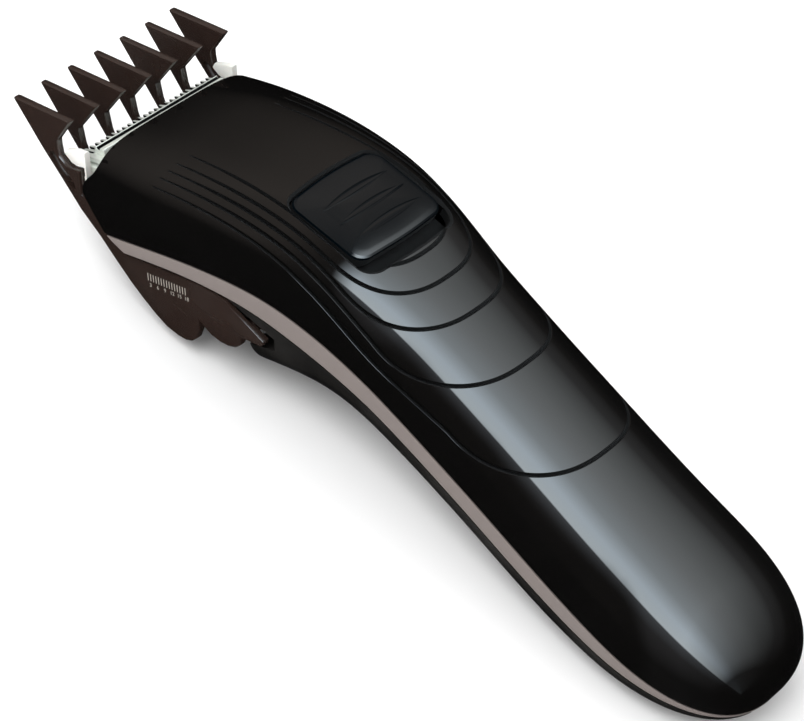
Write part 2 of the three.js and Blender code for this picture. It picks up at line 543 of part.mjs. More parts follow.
// ---- cutting unit, in the head frame ----
// A toothed plate in X and Y: teeth point to -X.
function toothedPlan(tip, root, back, halfY, teeth, cornerCut) {
  const pitch = (2 * halfY) / teeth;
  const points = [[back, -halfY], [back, halfY]];
  for (let i = teeth - 1; i >= 0; i--) {
    const middle = -halfY + (i + 0.5) * pitch;
    points.push([root, middle + pitch * 0.36], [tip, middle + pitch * 0.14]);
    points.push([tip, middle - pitch * 0.14], [root, middle - pitch * 0.36]);
  }
  points[0] = [back, -halfY + cornerCut];
  points[1] = [back, halfY - cornerCut];
  return points.reverse();
}
const FIXED = { tip: 2.3, root: 4.8, back: 12.2, z0: -1.6, z1: -0.5 };
const MOVING = { tip: 2.9, root: 5.2, back: 10.6, z0: -0.15, z1: 0.75 };
function fixedCutter() {
  let made = solid(prismZ(toothedPlan(FIXED.tip, FIXED.root, FIXED.back, CUTTER_WIDTH / 2, CUTTER_TEETH,
      1), FIXED.z0, FIXED.z1));
  made = made.subtract(solid(block(9.4, 14, -6.2, 6.2, -4, 2)));
  for (const side of [-1, 1]) made = made.subtract(solid(rodZ(1 + GAP, -4, 2, 9, side * 13, 12)));
  return made;
}
named(head, 'fixed_cutter', fixedCutter(), bladeSteel);

const movingHalf = CUTTER_WIDTH / 2 - CUTTER_STROKE - 0.2;
function movingCutter() {
  const plate = solid(prismZ(toothedPlan(MOVING.tip, MOVING.root, MOVING.back, movingHalf,
      CUTTER_TEETH - 1, 0.6), MOVING.z0, MOVING.z1));
  const rib = prismY([[6.3, 0.5], [9.1, 0.5], [9.1, 1.5], [8.5, 2.2], [7.2, 2.3], [6.3, 1.5]],
      -movingHalf, movingHalf);
  return plate.add(solid(rib));
}
named(head, 'moving_cutter', movingCutter(), bladeSteel);

function cutterBridge() {
  const made = solid(block(MOVING.back + 0.25, 13.8, -4.6, 4.6, -1.3, 1.4));
  return made.subtract(solid(block(FINGER - 1.2 - GAP, 14.5, -1.2 - GAP, 1.2 + GAP, -3, 0.95)));
}
named(head, 'cutter_bridge', cutterBridge(), whitePlastic);

const framePlan = [[3.6, -17], [5.2, -19.6], [7.55, -20.4], [7.55, -22.2], [13.9, -22.2],
  [13.9, 22.2], [7.55, 22.2], [7.55, 20.4], [5.2, 19.6], [3.6, 17]];
const frameSide = [[3, -1.9], [3.6, -2.4], [6.2, -5.2], [13.9, -5.2], [13.9, -1.9]];
const frameCheek = [[2.6, 1.6], [4.2, 0.2], [5.2, -0.1], [7.55, -0.1], [7.55, -5.2], [10.5, -5.2],
  [10.5, 3.2], [6, 3.2], [3.2, 2.6]];
function cutterFrame() {
  let made = solid(prismZ(framePlan, -6, 2)).intersect(solid(prismY(frameSide, -30, 30)));
  for (const side of [-1, 1]) {
    const [y0, y1] = side > 0 ? [20.8, 22.2] : [-22.2, -20.8];
    made = made.add(solid(prismY(frameCheek, y0, y1))).subtract(solid(rodZ(1 + GAP, -4.4, 2, 9,
        side * 13, 12)));
  }
  made = made.subtract(solid(block(9, 15, -6.4, 6.4, -7, 3)));
  const room = solid(bodySkin(WALL + 0.6, WALL + 0.6, 12, 20).applyMatrix4(headToBody.clone().invert()));
  return made.intersect(room.add(solid(block(-5, 8.1, -30, 30, -10, 5))));
}
named(head, 'cutter_frame', cutterFrame(), whitePlastic);
for (const [name, side] of [['cutter_screw_left', -1], ['cutter_screw_right', 1]]) {
  const shank = solid(rodZ(1, -4.2, FIXED.z1 - 0.4, 9, side * 13, 12));
  named(head, name, shank, springSteel);
}
function cutterSpring() {
  const leaf = solid(prismY([[9.35, 1.1], [12.6, 0.8], [12.6, -1.55], [13, -1.55], [13, 1.1],
      [9.6, 1.4], [9.35, 1.4]], -15, 15));
  return leaf.subtract(solid(block(10.5, 14, -7, 7, -3, 3)));
}
named(head, 'cutter_spring', cutterSpring(), springSteel);

// ---- length comb, in the head frame ----
const SKIN = { tipA: -8.8, tipB: 11, slope: -1.42 };
const skinAt = (b) => SKIN.tipA + (b - SKIN.tipB) / SKIN.slope;
const toothCrown = [[5.9, 9.65], [0.4, 3.4]];
// The arm's outline: its outer edge, the two grip lobes, its tail, and its inner edge beside the cutters.
const platePlan = [[SKIN.tipA, SKIN.tipB], [-2.2, 2], [2.2, -3.4], [6.6, -9], [11.2, -13.6], [14.9, -17.8],
  [18.4, -21.6], [21.3, -24.3], [24, -26.6], [26.7, -28.5], [29.6, -29.6], [31.6, -29.9], [33.1, -29.6],
  [34.4, -28.6], [35.2, -26.8], [35.5, -25.2], [35.4, -23.9], [36.5, -25], [38.4, -26.4], [40.7, -27.2],
  [42.7, -27.4], [44.4, -27.1], [45.6, -26.3], [46, -25.2], [45.8, -24.3], [51.2, -24.6], [51.8, -23.4],
  [42.6, -17.4], [36, -15.9], [17.2, -15.4], [14, -12], [10.6, -8], [9.2, -6.4], [7.2, -5.6], [7.2, -0.5],
  [5, -0.55], [3.8, -0.25], [2.1, 1.3], [1.9, 3.2], [1.9, 4.6], [5.9, 9.65]];
const toothPlan = [[SKIN.tipA, SKIN.tipB], [skinAt(-14.5), -14.5], [skinAt(-14.5) + 3.4, -15], [7, -8.6],
  [1.6, -2], [0.9, 0], ...[...toothCrown].reverse()];
const windowPlan = [[-0.6, 1.6], [1.4, -1.4], [4.8, -4.7], [5.9, -5.4], [5.6, -3.4], [3.6, -1.5],
    [2, 0.2], [0.9, 2.2]];
// The web between the arms narrows to a tongue, which ends in the two heels.
const webPlan = [[9.4, -13.7], [13.4, -17.9], [19.6, -25], [24.4, -30.1], [27.5, -32.9], [29.6, -33.8],
  [29.6, -31.6], [28.2, -31], [25.7, -28.5], [21.2, -23.5], [15.1, -16.5], [12, -12.9]];
const TONGUE = { from: 19, to: 27, halfWidth: 13.4, heelFrom: 9.8 };
const heelPlan = [[29.2, -33.9], [32.6, -33.4], [33.9, -30.4], [38, -29.4], [38, -28.5], [34, -28.5],
    [32, -31.4],
  [29.2, -31.7]];

const SELECTOR = { halfWidth: 9.2, top: -31.15, barFloor: -29.4, press: 1 };
function guideComb() {
  const inner = COMB_HALF_WIDTH - COMB_WALL;
  const pitch = (COMB_HALF_WIDTH * 2 - COMB_WALL) / (COMB_TEETH - 1);
  const wide = inner + 0.5;
  const tongue = [[-20, -wide], [TONGUE.from, -wide], [TONGUE.to, -TONGUE.halfWidth],
      [60, -TONGUE.halfWidth],
    [60, TONGUE.halfWidth], [TONGUE.to, TONGUE.halfWidth], [TONGUE.from, wide], [-20, wide]];
  let made = solid(prismY(webPlan, -wide, wide)).intersect(solid(prismZ(tongue, -60, 20)));
  for (const side of [-1, 1]) {
    const [y0, y1] = side > 0 ? [inner, COMB_HALF_WIDTH] : [-COMB_HALF_WIDTH, -inner];
    const plate = solid(prismY(platePlan, y0, y1)).subtract(solid(prismY(windowPlan, -30, 30)));
    const heel = solid(prismY(heelPlan, side > 0 ? TONGUE.heelFrom : -TONGUE.halfWidth,
        side > 0 ? TONGUE.halfWidth : -TONGUE.heelFrom));
    made = made.add(plate).add(heel);
  }
  for (let i = 1; i < COMB_TEETH - 1; i++) {
    const middle = (i - (COMB_TEETH - 1) / 2) * pitch;
    made = made.add(solid(prismY(toothPlan, middle - COMB_TOOTH / 2, middle + COMB_TOOTH / 2)));
  }
  made = made.add(solid(block(34, 38, -TONGUE.halfWidth, TONGUE.halfWidth, SELECTOR.barFloor,
      SELECTOR.barFloor + 0.9)));
  const groove = GAP;
  for (const side of [-1, 1]) {
    const [y0, y1] = side > 0 ? [inner - 1, railAt.reach + groove] : [-railAt.reach - groove, -inner + 1];
    made = made.subtract(solid(block(railAt.from - groove, 70, y0, y1, railAt.z0 - groove,
        railAt.z1 + groove)));
  }
  return made.subtract(restCutHead);
}
named(head, 'guide_comb', guideComb(), smokedPlastic);

function lengthSelector() {
  const wave = [[30.6, SELECTOR.top], [42.2, SELECTOR.top], [42, -31.8], [40.8, -32.6], [38.4, -32.2],
      [36.6, -33.1],
    [34, -33.3], [31, -32.6], [30.3, -31.9]];
  return solid(prismY(wave, -SELECTOR.halfWidth, SELECTOR.halfWidth)).subtract(restCutHead);
}
named(head, 'length_selector', lengthSelector(), smokedPlastic);

named(head, 'selector_spring', solid(block(34.4, 37.6, -8, 8, SELECTOR.barFloor - GAP - 0.3,
    SELECTOR.barFloor - GAP)), springSteel);

// ---- leads that run inside the casing ----
function lead(points) {
  const path = new THREE.CatmullRomCurve3(points.map(([x, y, z]) => new THREE.Vector3(x, y, z)));
  const section = new THREE.Shape(Array.from({ length: 8 }, (_, i) =>
    new THREE.Vector2(LEAD_RADIUS * Math.cos((i * Math.PI) / 4),
        LEAD_RADIUS * Math.sin((i * Math.PI) / 4))));
  return solid(new THREE.ExtrudeGeometry(section, { steps: 12, bevelEnabled: false, extrudePath: path }));
}
const terminal = (side) => new THREE.Vector3(motorBack + 3.6, side * 5, AXIS_Z).applyMatrix4(headToBody);
for (const [name, side, material] of [['motor_lead_red', 1, redInsulation],
    ['motor_lead_black', -1, blackInsulation]]) {
  const start = terminal(side);
  named(body, name, lead([[start.x, start.y, start.z], [start.x + 3, side * 5.4, start.z - 1.5],
    [61.5, side * 6.6, 16.6], [68, side * 7, 16.4], [74, side * 7, 17.4]]), material);
}
for (const [name, side, material] of [['supply_lead_red', 1, redInsulation],
    ['supply_lead_black', -1, blackInsulation]]) {
  const start = new THREE.Vector3(INLET.back - 3.7, side * (INLET.pinSide - 0.5),
      inletMiddle).applyMatrix4(restToBody);
  const bossX = screwPlaces[2][0];
  named(body, name, lead([[start.x, start.y, start.z], [start.x, side * 4.6, start.z + 1.4],
    [start.x - 2.6, side * 6.4, start.z + 3.6], [bossX, side * 7.2, start.z + 4.4],
        [bossX - 7, side * 7.2, 15.4],
    [BOARD.x1 + 4, side * 6.4, 16.8], [BOARD.x1 - 4, side * 6, 17.6]]), material);
}

// ---- lay it down, and put the origin below the middle of its box ----
body.rotation.y = restTilt;
const clipper = new THREE.Group();
clipper.add(body);
clipper.updateMatrixWorld(true);
const box = new THREE.Box3().setFromObject(clipper, true);
const middle = box.getCenter(new THREE.Vector3());
body.position.set(-middle.x, -middle.y, -box.min.z);
clipper.updateMatrixWorld(true);

export default clipper;
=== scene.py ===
"""Hair clipper: the finished casing, switch button, cutting unit and length comb, around a fixed frame.

Lengths in the settings and in the outlines are millimetres of the body frame: X runs along the handle
towards the tail, Y across it and Z up out of the switch side. The head frame is the body frame turned down
by HEAD_TILT.
"""
import json
import math

import bmesh
import bpy
import numpy as np
from mathutils import Matrix, Vector


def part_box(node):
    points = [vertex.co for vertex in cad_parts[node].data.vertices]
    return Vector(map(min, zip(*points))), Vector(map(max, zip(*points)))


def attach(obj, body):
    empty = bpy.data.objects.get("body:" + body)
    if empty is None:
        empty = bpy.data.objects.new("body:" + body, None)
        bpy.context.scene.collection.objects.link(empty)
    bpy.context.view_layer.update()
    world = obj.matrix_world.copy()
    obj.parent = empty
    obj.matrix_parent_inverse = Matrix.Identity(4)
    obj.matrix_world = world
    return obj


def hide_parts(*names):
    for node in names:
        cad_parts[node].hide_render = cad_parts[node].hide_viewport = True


bl_info = {
    "name": "Hair clipper finish",
    "version": (1, 0, 0),
    "blender": (4, 5, 0),
    "location": "View3D > Sidebar > Clipper",
    "description": "Builds the detailed pieces of a hair clipper around its mechanical frame",
    "category": "Add Mesh",
}

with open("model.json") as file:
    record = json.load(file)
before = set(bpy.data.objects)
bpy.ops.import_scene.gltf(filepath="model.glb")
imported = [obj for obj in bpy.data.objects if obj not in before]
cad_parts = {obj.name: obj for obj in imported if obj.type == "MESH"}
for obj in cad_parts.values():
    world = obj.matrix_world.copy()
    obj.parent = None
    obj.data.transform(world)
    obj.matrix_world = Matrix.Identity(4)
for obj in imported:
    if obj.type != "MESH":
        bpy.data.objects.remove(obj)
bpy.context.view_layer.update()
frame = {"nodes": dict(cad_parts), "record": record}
JOINTS = {joint["name"]: joint for joint in frame["record"]["behaviour"]["joints"]}

# ---- the body's form, the same as the frame's ----
HEAD_TILT = math.radians(34)
BODY_LENGTH = 168.8
HEAD_LENGTH = 72
HANDLE_HALF_WIDTH = 20.6
HEAD_HALF_WIDTH = 25
HANDLE_CROWN = 14.4
HEAD_CROWN = 19.4
HANDLE_LEVEL = 20
HANDLE_BELLY = 9.4
HEAD_BELLY = 23
WALL = 2.2
GAP = 0.35
TRIM_STEP = 0.5
SWITCH_FRONT = 40.5
SWITCH_LENGTH = 22.5
SWITCH_HALF_WIDTH = 13
SWITCH_TRAVEL = 2.6
COMB_HALF_WIDTH = 23.3
COMB_WALL = 1.9
COMB_TEETH = 7
CUTTER_HALF_WIDTH = 20.5


def curve_through(knots):
    """A smooth curve through a few knots (x, value), for arrays of x."""
    table = np.array(knots, float)
    before = table[np.maximum(np.arange(len(table)) - 1, 0)]
    after = table[np.minimum(np.arange(len(table)) + 1, len(table) - 1)]
    slope = (after[:, 1] - before[:, 1]) / (after[:, 0] - before[:, 0])

    def value(x):
        x = np.asarray(x, float)
        i = np.clip(np.searchsorted(table[:, 0], x, side="right") - 1, 0, len(table) - 2)
        span = table[i + 1, 0] - table[i, 0]
        t = (x - table[i, 0]) / span
        out = (table[i, 1] * (2 * t**3 - 3 * t**2 + 1) + slope[i] * span * (t**3 - 2 * t**2 + t)
               + table[i + 1, 1] * (3 * t**2 - 2 * t**3) + slope[i + 1] * span * (t**3 - t**2))
        out = np.where(x <= table[0, 0], table[0, 1] + slope[0] * (x - table[0, 0]), out)
        return np.where(x >= table[-1, 0], table[-1, 1], out)

    return value


def on_handle(fraction):
    return HEAD_LENGTH + fraction * (BODY_LENGTH - HEAD_LENGTH)


width_knots = curve_through([(0, HEAD_HALF_WIDTH - 1.8), (17, HEAD_HALF_WIDTH), (34, HEAD_HALF_WIDTH - 0.5),
                             (57, HANDLE_HALF_WIDTH + 1.7), (on_handle(0.09), HANDLE_HALF_WIDTH),
                             (on_handle(0.69), HANDLE_HALF_WIDTH + 0.2)])
crown_knots = curve_through([(0, HEAD_CROWN), (17, HEAD_CROWN - 0.4), (40.5, HANDLE_CROWN + 2.3),
                             (64, HANDLE_CROWN + 0.4), (on_handle(0.13), HANDLE_CROWN),
                             (on_handle(0.65), HANDLE_CROWN - 0.3)])
top_edge = curve_through([(0, HANDLE_LEVEL - 34.3), (17, HANDLE_LEVEL - 22), (33.8, HANDLE_LEVEL - 10.8),
                          (47.3, HANDLE_LEVEL - 4.1), (59, HANDLE_LEVEL - 1), (72.6, HANDLE_LEVEL),
                          (on_handle(0.3), HANDLE_LEVEL - 0.3), (on_handle(0.65), HANDLE_LEVEL - 1),
                          (BODY_LENGTH, HANDLE_LEVEL + 1.2)])
trim_knots = curve_through([(0, 3.6), (34, 4.2), (59, 5.4), (on_handle(0.13), 4.4), (on_handle(0.65), 3.9),
                            (BODY_LENGTH, 1.2)])
belly_knots = curve_through([(0, HEAD_BELLY - 2), (34, HEAD_BELLY), (54, HEAD_BELLY - 5),
                             (71, HANDLE_BELLY + 1.6), (on_handle(0.13), HANDLE_BELLY),
                             (on_handle(0.65), HANDLE_BELLY - 0.8)])
squareness = curve_through([(17, 4.2), (47, 3.2), (on_handle(0.04), 2.3), (BODY_LENGTH, 2.3)])


def rounded_end(x, start, power):
    t = np.clip((x - on_handle(start)) / (BODY_LENGTH - on_handle(start)), 0, 0.9999)
    return (1 - t**power) ** (1 / power)


def half_width(x):
    return width_knots(x) * rounded_end(x, 0.69, 2.5)


def crown(x):
    return top_edge(x) + crown_knots(x) * rounded_end(x, 0.62, 2.3)


def trim_edge(x):
    return top_edge(x) - trim_knots(x)


def belly(x):
    return trim_edge(x) - belly_knots(x) * rounded_end(x, 0.51, 2.2)


def shell_height(x, y):
    """Height of the top shell's surface over a point of the plan."""
    across = np.clip(np.abs(y) / half_width(x), 0, 0.9999)
    power = squareness(x)
    return top_edge(x) + (crown(x) - top_edge(x)) * (1 - across**power) ** (1 / power)


SWITCH_MIDDLE = SWITCH_FRONT + SWITCH_LENGTH / 2
SWITCH_SLOPE = math.atan2(crown(SWITCH_MIDDLE + 6) - crown(SWITCH_MIDDLE - 6), 12)
PAD_X = on_handle(0.8)
PAD_Z = float(belly(PAD_X)) + 0.45


# ---- frames ----
def body_frame():
    """Body frame in mm to the part's frame in metres, from the comb's direction and the circuit board."""
    forward = Vector(JOINTS["comb_slide"]["axis"])
    tilt = HEAD_TILT - math.atan2(-forward.z, -forward.x)
    turn = Matrix.Rotation(tilt, 4, "Y")
    low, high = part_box("circuit_board")
    board_middle = Vector([(a + b) / 2 for a, b in zip(low, high)])
    offset = board_middle - (turn @ Vector((0.0905, 0, 0.0204)))
    return Matrix.Translation(offset) @ turn @ Matrix.Scale(0.001, 4), tilt


BODY, REST_TILT = body_frame()
HEAD = BODY @ Matrix.Rotation(-HEAD_TILT, 4, "Y")
HEAD_TO_BODY = Matrix.Rotation(-HEAD_TILT, 4, "Y")
BODY_TO_HEAD = Matrix.Rotation(HEAD_TILT, 4, "Y")
REST_TO_BODY = Matrix.Translation((PAD_X, 0, PAD_Z)) @ Matrix.Rotation(-REST_TILT, 4, "Y")
SWITCH_TO_BODY = (Matrix.Translation((SWITCH_MIDDLE, 0, float(crown(SWITCH_MIDDLE))))
                  @ Matrix.Rotation(-SWITCH_SLOPE, 4, "Y"))


# ---- meshes ----
def new_mesh(name, points, faces, matrix=None):
    mesh = bpy.data.meshes.new(name)
    mesh.from_pydata([tuple(p) for p in np.asarray(points, float)], [], [tuple(f) for f in faces])
    if matrix is not None:
        mesh.transform(matrix)
    return mesh


def new_object(name, mesh):
    piece = bpy.data.objects.new(name, mesh)
    bpy.context.scene.collection.objects.link(piece)
    return piece


def loft(rings):
    """Rings of points, all of one length, joined into a closed skin."""
    count = len(rings[0])
    points = np.concatenate(rings)
    faces = []
    for i in range(len(rings) - 1):
        for j in range(count):
            a, b = i * count + j, i * count + (j + 1) % count
            faces.append((a, b, b + count, a + count))
    last = (len(rings) - 1) * count
    faces.append(tuple(range(count))[::-1])
    faces.append(tuple(range(last, last + count)))
    return new_mesh("loft", points, faces)


def superellipse(width, height, power, side, steps):
    angle = np.pi * np.arange(steps + 1) / steps
    c, s = np.cos(angle) * side, np.sin(angle)
    return (width * np.sign(c) * np.abs(c) ** (2 / power), side * height * np.abs(s) ** (2 / power))


def body_skin(inset, belly_inset, steps, stations):
    last = BODY_LENGTH - inset - 0.05
    rings = []
    for x in -4 + (last + 4) * np.sin(np.pi / 2 * (np.arange(stations + 1) / stations) ** 0.85):
        width = max(half_width(x) - inset, 0.2)
        up = max(crown(x) - top_edge(x) - inset, 0.1)
        down = max(trim_edge(x) - belly(x) - belly_inset, 0.1)
        ring = []
        for half, base, height, side in ((width, top_edge(x), up, 1),
                                         (max(width - TRIM_STEP, 0.1), trim_edge(x), down, -1)):
            y, z = superellipse(half, height, float(squareness(x)), side, steps)
            ring.append(np.stack([np.full_like(y, x), y, z + base], 1))
        rings.append(np.concatenate(ring))
    return loft(rings)


ROD_SIDES = 48
CORNER_STEPS = 10
BEVEL_ANGLE = math.radians(35)


def prism(outline, place, low, high, matrix=None):
    """An outline drawn out from low to high; place turns (u, v, depth) into a point."""
    n = len(outline)
    points = [place(u, v, depth) for depth in (low, high) for u, v in outline]
    faces = [tuple(range(n)), tuple(range(2 * n - 1, n - 1, -1))]
    faces += [(i, i + n, (i + 1) % n + n, (i + 1) % n) for i in range(n)]
    return facing_out(new_mesh("prism", points, faces, matrix))


def prism_y(outline, y0, y1, matrix=None):
    """The outline is in X and Z, and it runs across from y0 to y1."""
    return prism(outline, lambda x, z, y: (x, y, z), y0, y1, matrix)


def prism_z(outline, z0, z1, matrix=None):
    """The outline is in X and Y, and it stands from z0 to z1."""
    return prism(outline, lambda x, y, z: (x, y, z), z0, z1, matrix)


def block(x0, x1, y0, y1, z0, z1, matrix=None):
    return prism_z([(x0, y0), (x1, y0), (x1, y1), (x0, y1)], z0, z1, matrix)


def rod_z(radius, z0, z1, x, y):
    angle = 2 * np.pi * np.arange(ROD_SIDES) / ROD_SIDES
    return prism_z(list(zip(x + radius * np.cos(angle), y + radius * np.sin(angle))), z0, z1)


def facing_out(mesh):
    shape = bmesh.new()
    shape.from_mesh(mesh)
    bmesh.ops.recalc_face_normals(shape, faces=shape.faces)
    shape.to_mesh(mesh)
    shape.free()
    return mesh


def bevelled(mesh, width):
    """Rounds the edges that are sharper than BEVEL_ANGLE."""
    shape = bmesh.new()
    shape.from_mesh(mesh)
    bmesh.ops.remove_doubles(shape, verts=shape.verts, dist=width * 0.02)
    edges = [e for e in shape.edges if len(e.link_faces) == 2 and e.calc_face_angle(0) > BEVEL_ANGLE]
    bmesh.ops.bevel(shape, geom=edges, offset=width, segments=2, profile=0.5, affect="EDGES",
                    clamp_overlap=True)
    bmesh.ops.recalc_face_normals(shape, faces=shape.faces)
    shape.to_mesh(mesh)
    shape.free()
    return mesh


def rounded_outline(x0, x1, half, radius, bow=0.0):
    """A rectangle with round corners. Its short sides bow out by bow in their middle."""
    steps = CORNER_STEPS
    points = []
    corners = ((x1 - radius, half - radius, 0), (x0 + radius, half - radius, 1),
               (x0 + radius, -half + radius, 2), (x1 - radius, -half + radius, 3))
    for x, y, quarter in corners:
        for i in range(steps + 1):
            angle = math.pi / 2 * (quarter + i / steps)
            points.append((x + radius * math.cos(angle), y + radius * math.sin(angle)))
        if bow and quarter in (1, 3):
            start, end = points[-1], (points[-1][0], -points[-1][1])
            for i in range(1, steps):
                t = i / steps
                points.append((start[0] + (-bow if quarter == 1 else bow) * math.sin(math.pi * t),
                               start[1] + (end[1] - start[1]) * t))
    return points


def evaluated_mesh(piece):
    """The piece's mesh with its modifiers applied."""
    return bpy.data.meshes.new_from_object(piece.evaluated_get(bpy.context.evaluated_depsgraph_get()))


def combined(mesh, others, operation):
    """Cuts, joins or intersects closed meshes."""
    base = new_object("base", mesh)
    tools = []
    for other in others:
        tool = new_object("tool", other)
        tools.append(tool)
        modifier = base.modifiers.new("with", "BOOLEAN")
        modifier.operation = operation
        modifier.solver = "MANIFOLD"
        modifier.object = tool
    made = evaluated_mesh(base)
    for piece in [base] + tools:
        bpy.data.objects.remove(piece)
    if not made.polygons:
        raise RuntimeError("a combined shape came out empty")
    return made


def cut(mesh, *others):
    return combined(mesh, others, "DIFFERENCE")


def joined(mesh, *others):
    return combined(mesh, others, "UNION")


def common(mesh, *others):
    return combined(mesh, others, "INTERSECT")


EDGE_STATIONS = np.linspace(-8, BODY_LENGTH + 4, 160)
FAR = 120
SIDE = 60


def beyond(edge, offset, far):
    """Everything between a line along the body and a level far above or far below it."""
    line = [(x, float(edge(x)) + offset) for x in EDGE_STATIONS]
    return across(line + [(line[-1][0], far), (line[0][0], far)])


def above(edge, offset):
    return beyond(edge, offset, FAR)


def below(edge, offset):
    return beyond(edge, offset, -FAR)


def across(outline, matrix=None):
    """An outline in X and Z that runs across wider than the whole part, to cut with."""
    return prism_y(outline, -SIDE, SIDE, matrix)


OPENING = ((11.6, 40), (11.6, 9), (11, 4.5), (11.3, 2.4), (11.1, 0.9), (10.5, -0.2), (9.2, -1.4), (8.3, -3),
           (8.9, -4.6), (11, -6.9), (14.4, -11), (17, -13.2), (20.6, -15.6), (24, -22), (26, -60))


def opening_cut():
    """Everything in front of the head's opening, which swells forward at its sides."""
    line = np.array(OPENING[::-1], float)
    for _ in range(2):
        middle = line[1:-1]
        corners = np.stack([middle * 0.75 + line[:-2] * 0.25, middle * 0.75 + line[2:] * 0.25], 1)
        line = np.concatenate([line[:1], corners.reshape(-1, 2), line[-1:]])
    return across([(-40, 40), (-40, -60)] + [tuple(p) for p in line], HEAD_TO_BODY)


# ---- nodes ----
def add_node(tree, kind, inputs=None, **settings):
    """A node with its settings, and its inputs given as values or as sockets to link."""
    node = tree.nodes.new(kind)
    for name, value in settings.items():
        setattr(node, name, value)
    for socket, value in (inputs or {}).items():
        if isinstance(value, bpy.types.NodeSocket):
            tree.links.new(value, node.inputs[socket])
        else:
            node.inputs[socket].default_value = value
    return node


def math_node(tree, operation, *values, clamp=False):
    node = add_node(tree, "ShaderNodeMath", dict(enumerate(values)), operation=operation, use_clamp=clamp)
    return node.outputs[0]


def map_range(tree, value, low, high, to_low=0.0):
    inputs = {"Value": value, "From Min": low, "From Max": high, "To Min": to_low}
    return add_node(tree, "ShaderNodeMapRange", inputs).outputs["Result"]


def noise(tree, vector, scale, detail):
    inputs = {"Vector": vector, "Scale": scale, "Detail": detail}
    return add_node(tree, "ShaderNodeTexNoise", inputs).outputs["Fac"]


def mix_colour(tree, share, first, second, blend="MIX"):
    node = add_node(tree, "ShaderNodeMix", data_type="RGBA", blend_type=blend)
    for socket, value in ((0, share), (6, first), (7, second)):
        if isinstance(value, bpy.types.NodeSocket):
            tree.links.new(value, node.inputs[socket])
        else:
            node.inputs[socket].default_value = value
    return node.outputs[2]


def add_sockets(tree, direction, sockets):
    """Sockets of a group: name, kind and, where it matters, the value it starts with."""
    for name, kind, *start in sockets:
        socket = tree.interface.new_socket(name, in_out=direction, socket_type="NodeSocket" + kind)
        if start:
            socket.default_value = start[0]


def row_tree():
    """Copies of the object's own mesh at even steps."""
    name = "Copies in a row"
    if name in bpy.data.node_groups:
        return bpy.data.node_groups[name]
    tree = bpy.data.node_groups.new(name, "GeometryNodeTree")
    add_sockets(tree, "INPUT", (("Geometry", "Geometry"), ("Count", "Int"), ("Start", "Vector"),
                                ("Step", "Vector"), ("Finish", "Material")))
    add_sockets(tree, "OUTPUT", (("Geometry", "Geometry"),))
    given = tree.nodes.new("NodeGroupInput").outputs
    line = add_node(tree, "GeometryNodeMeshLine", {"Count": given["Count"], "Start Location": given["Start"],
                                                   "Offset": given["Step"]}, mode="OFFSET")
    copies = add_node(tree, "GeometryNodeInstanceOnPoints", {"Points": line.outputs["Mesh"],
                                                             "Instance": given["Geometry"]})
    real = add_node(tree, "GeometryNodeRealizeInstances", {"Geometry": copies.outputs["Instances"]})
    painted = add_node(tree, "GeometryNodeSetMaterial", {"Geometry": real.outputs["Geometry"],
                                                         "Material": given["Finish"]})
    add_node(tree, "NodeGroupOutput", {"Geometry": painted.outputs["Geometry"]})
    return tree


def row_of(mesh, count, start, step, finish):
    tree = row_tree()
    piece = new_object("row", mesh)
    modifier = piece.modifiers.new("row", "NODES")
    modifier.node_group = tree
    values = {"Count": count, "Start": start, "Step": step, "Finish": finish}
    for item in tree.interface.items_tree:
        if item.in_out == "INPUT" and item.name in values:
            modifier[item.identifier] = values[item.name]
    piece.update_tag()
    made = evaluated_mesh(piece)
    bpy.data.objects.remove(piece)
    return made


def merged(*meshes):
    """Several meshes as one, without joining their surfaces."""
    shape = bmesh.new()
    for mesh in meshes:
        shape.from_mesh(mesh)
    made = bpy.data.meshes.new("merged")
    shape.to_mesh(made)
    shape.free()
    return made


# ---- shading ----
def body_normals(points):
    """Distance from the body's skin and its outward direction there, for points of the body frame."""
    x, y, z = np.clip(points[:, 0], -3.9, BODY_LENGTH - 0.1), points[:, 1], points[:, 2]

    def level(x, y, z):
        power = squareness(x)
        upper = z > top_edge(x)
        lower = z < trim_edge(x)
        width = half_width(x) - np.where(lower, TRIM_STEP, 0)
        rise = np.where(upper, (z - top_edge(x)) / np.maximum(crown(x) - top_edge(x), 0.1), 0)
        rise = np.where(lower, (trim_edge(x) - z) / np.maximum(trim_edge(x) - belly(x), 0.1), rise)
        across = np.abs(y) / np.maximum(width, 0.2)
        return (across**power + np.abs(rise) ** power) ** (1 / power)

    step = 0.02
    here = level(x, y, z)
    slope = np.stack([(level(x + step, y, z) - level(x - step, y, z)) / (2 * step),
                      (level(x, y + step, z) - level(x, y - step, z)) / (2 * step),
                      (level(x, y, z + step) - level(x, y, z - step)) / (2 * step)], 1)
    size = np.maximum(np.linalg.norm(slope, axis=1), 1e-9)
    return (here - 1) / size, slope / size[:, None]


def read(items, name, width=3):
    """One property of all of a mesh's faces, corners or points as rows of numbers."""
    values = np.empty(len(items) * width)
    items.foreach_get(name, values)
    return values.reshape(-1, width)


def mark_painted_shade(mesh, chosen):
    # The "recess" attribute holds the faces that get painted shade.
    marks = mesh.attributes.new("recess", "FLOAT", "FACE").data
    marks.foreach_set("value", chosen.astype(np.float32))
    return mesh


def mark_shade_by_depth(mesh, shallow, deep):
    """Marks the faces that lie in a groove or a gap of the skin, for painted shade there."""
    distance = body_normals(read(mesh.polygons, "center"))[0]
    return mark_painted_shade(mesh, (distance < -shallow) & (distance > -deep))


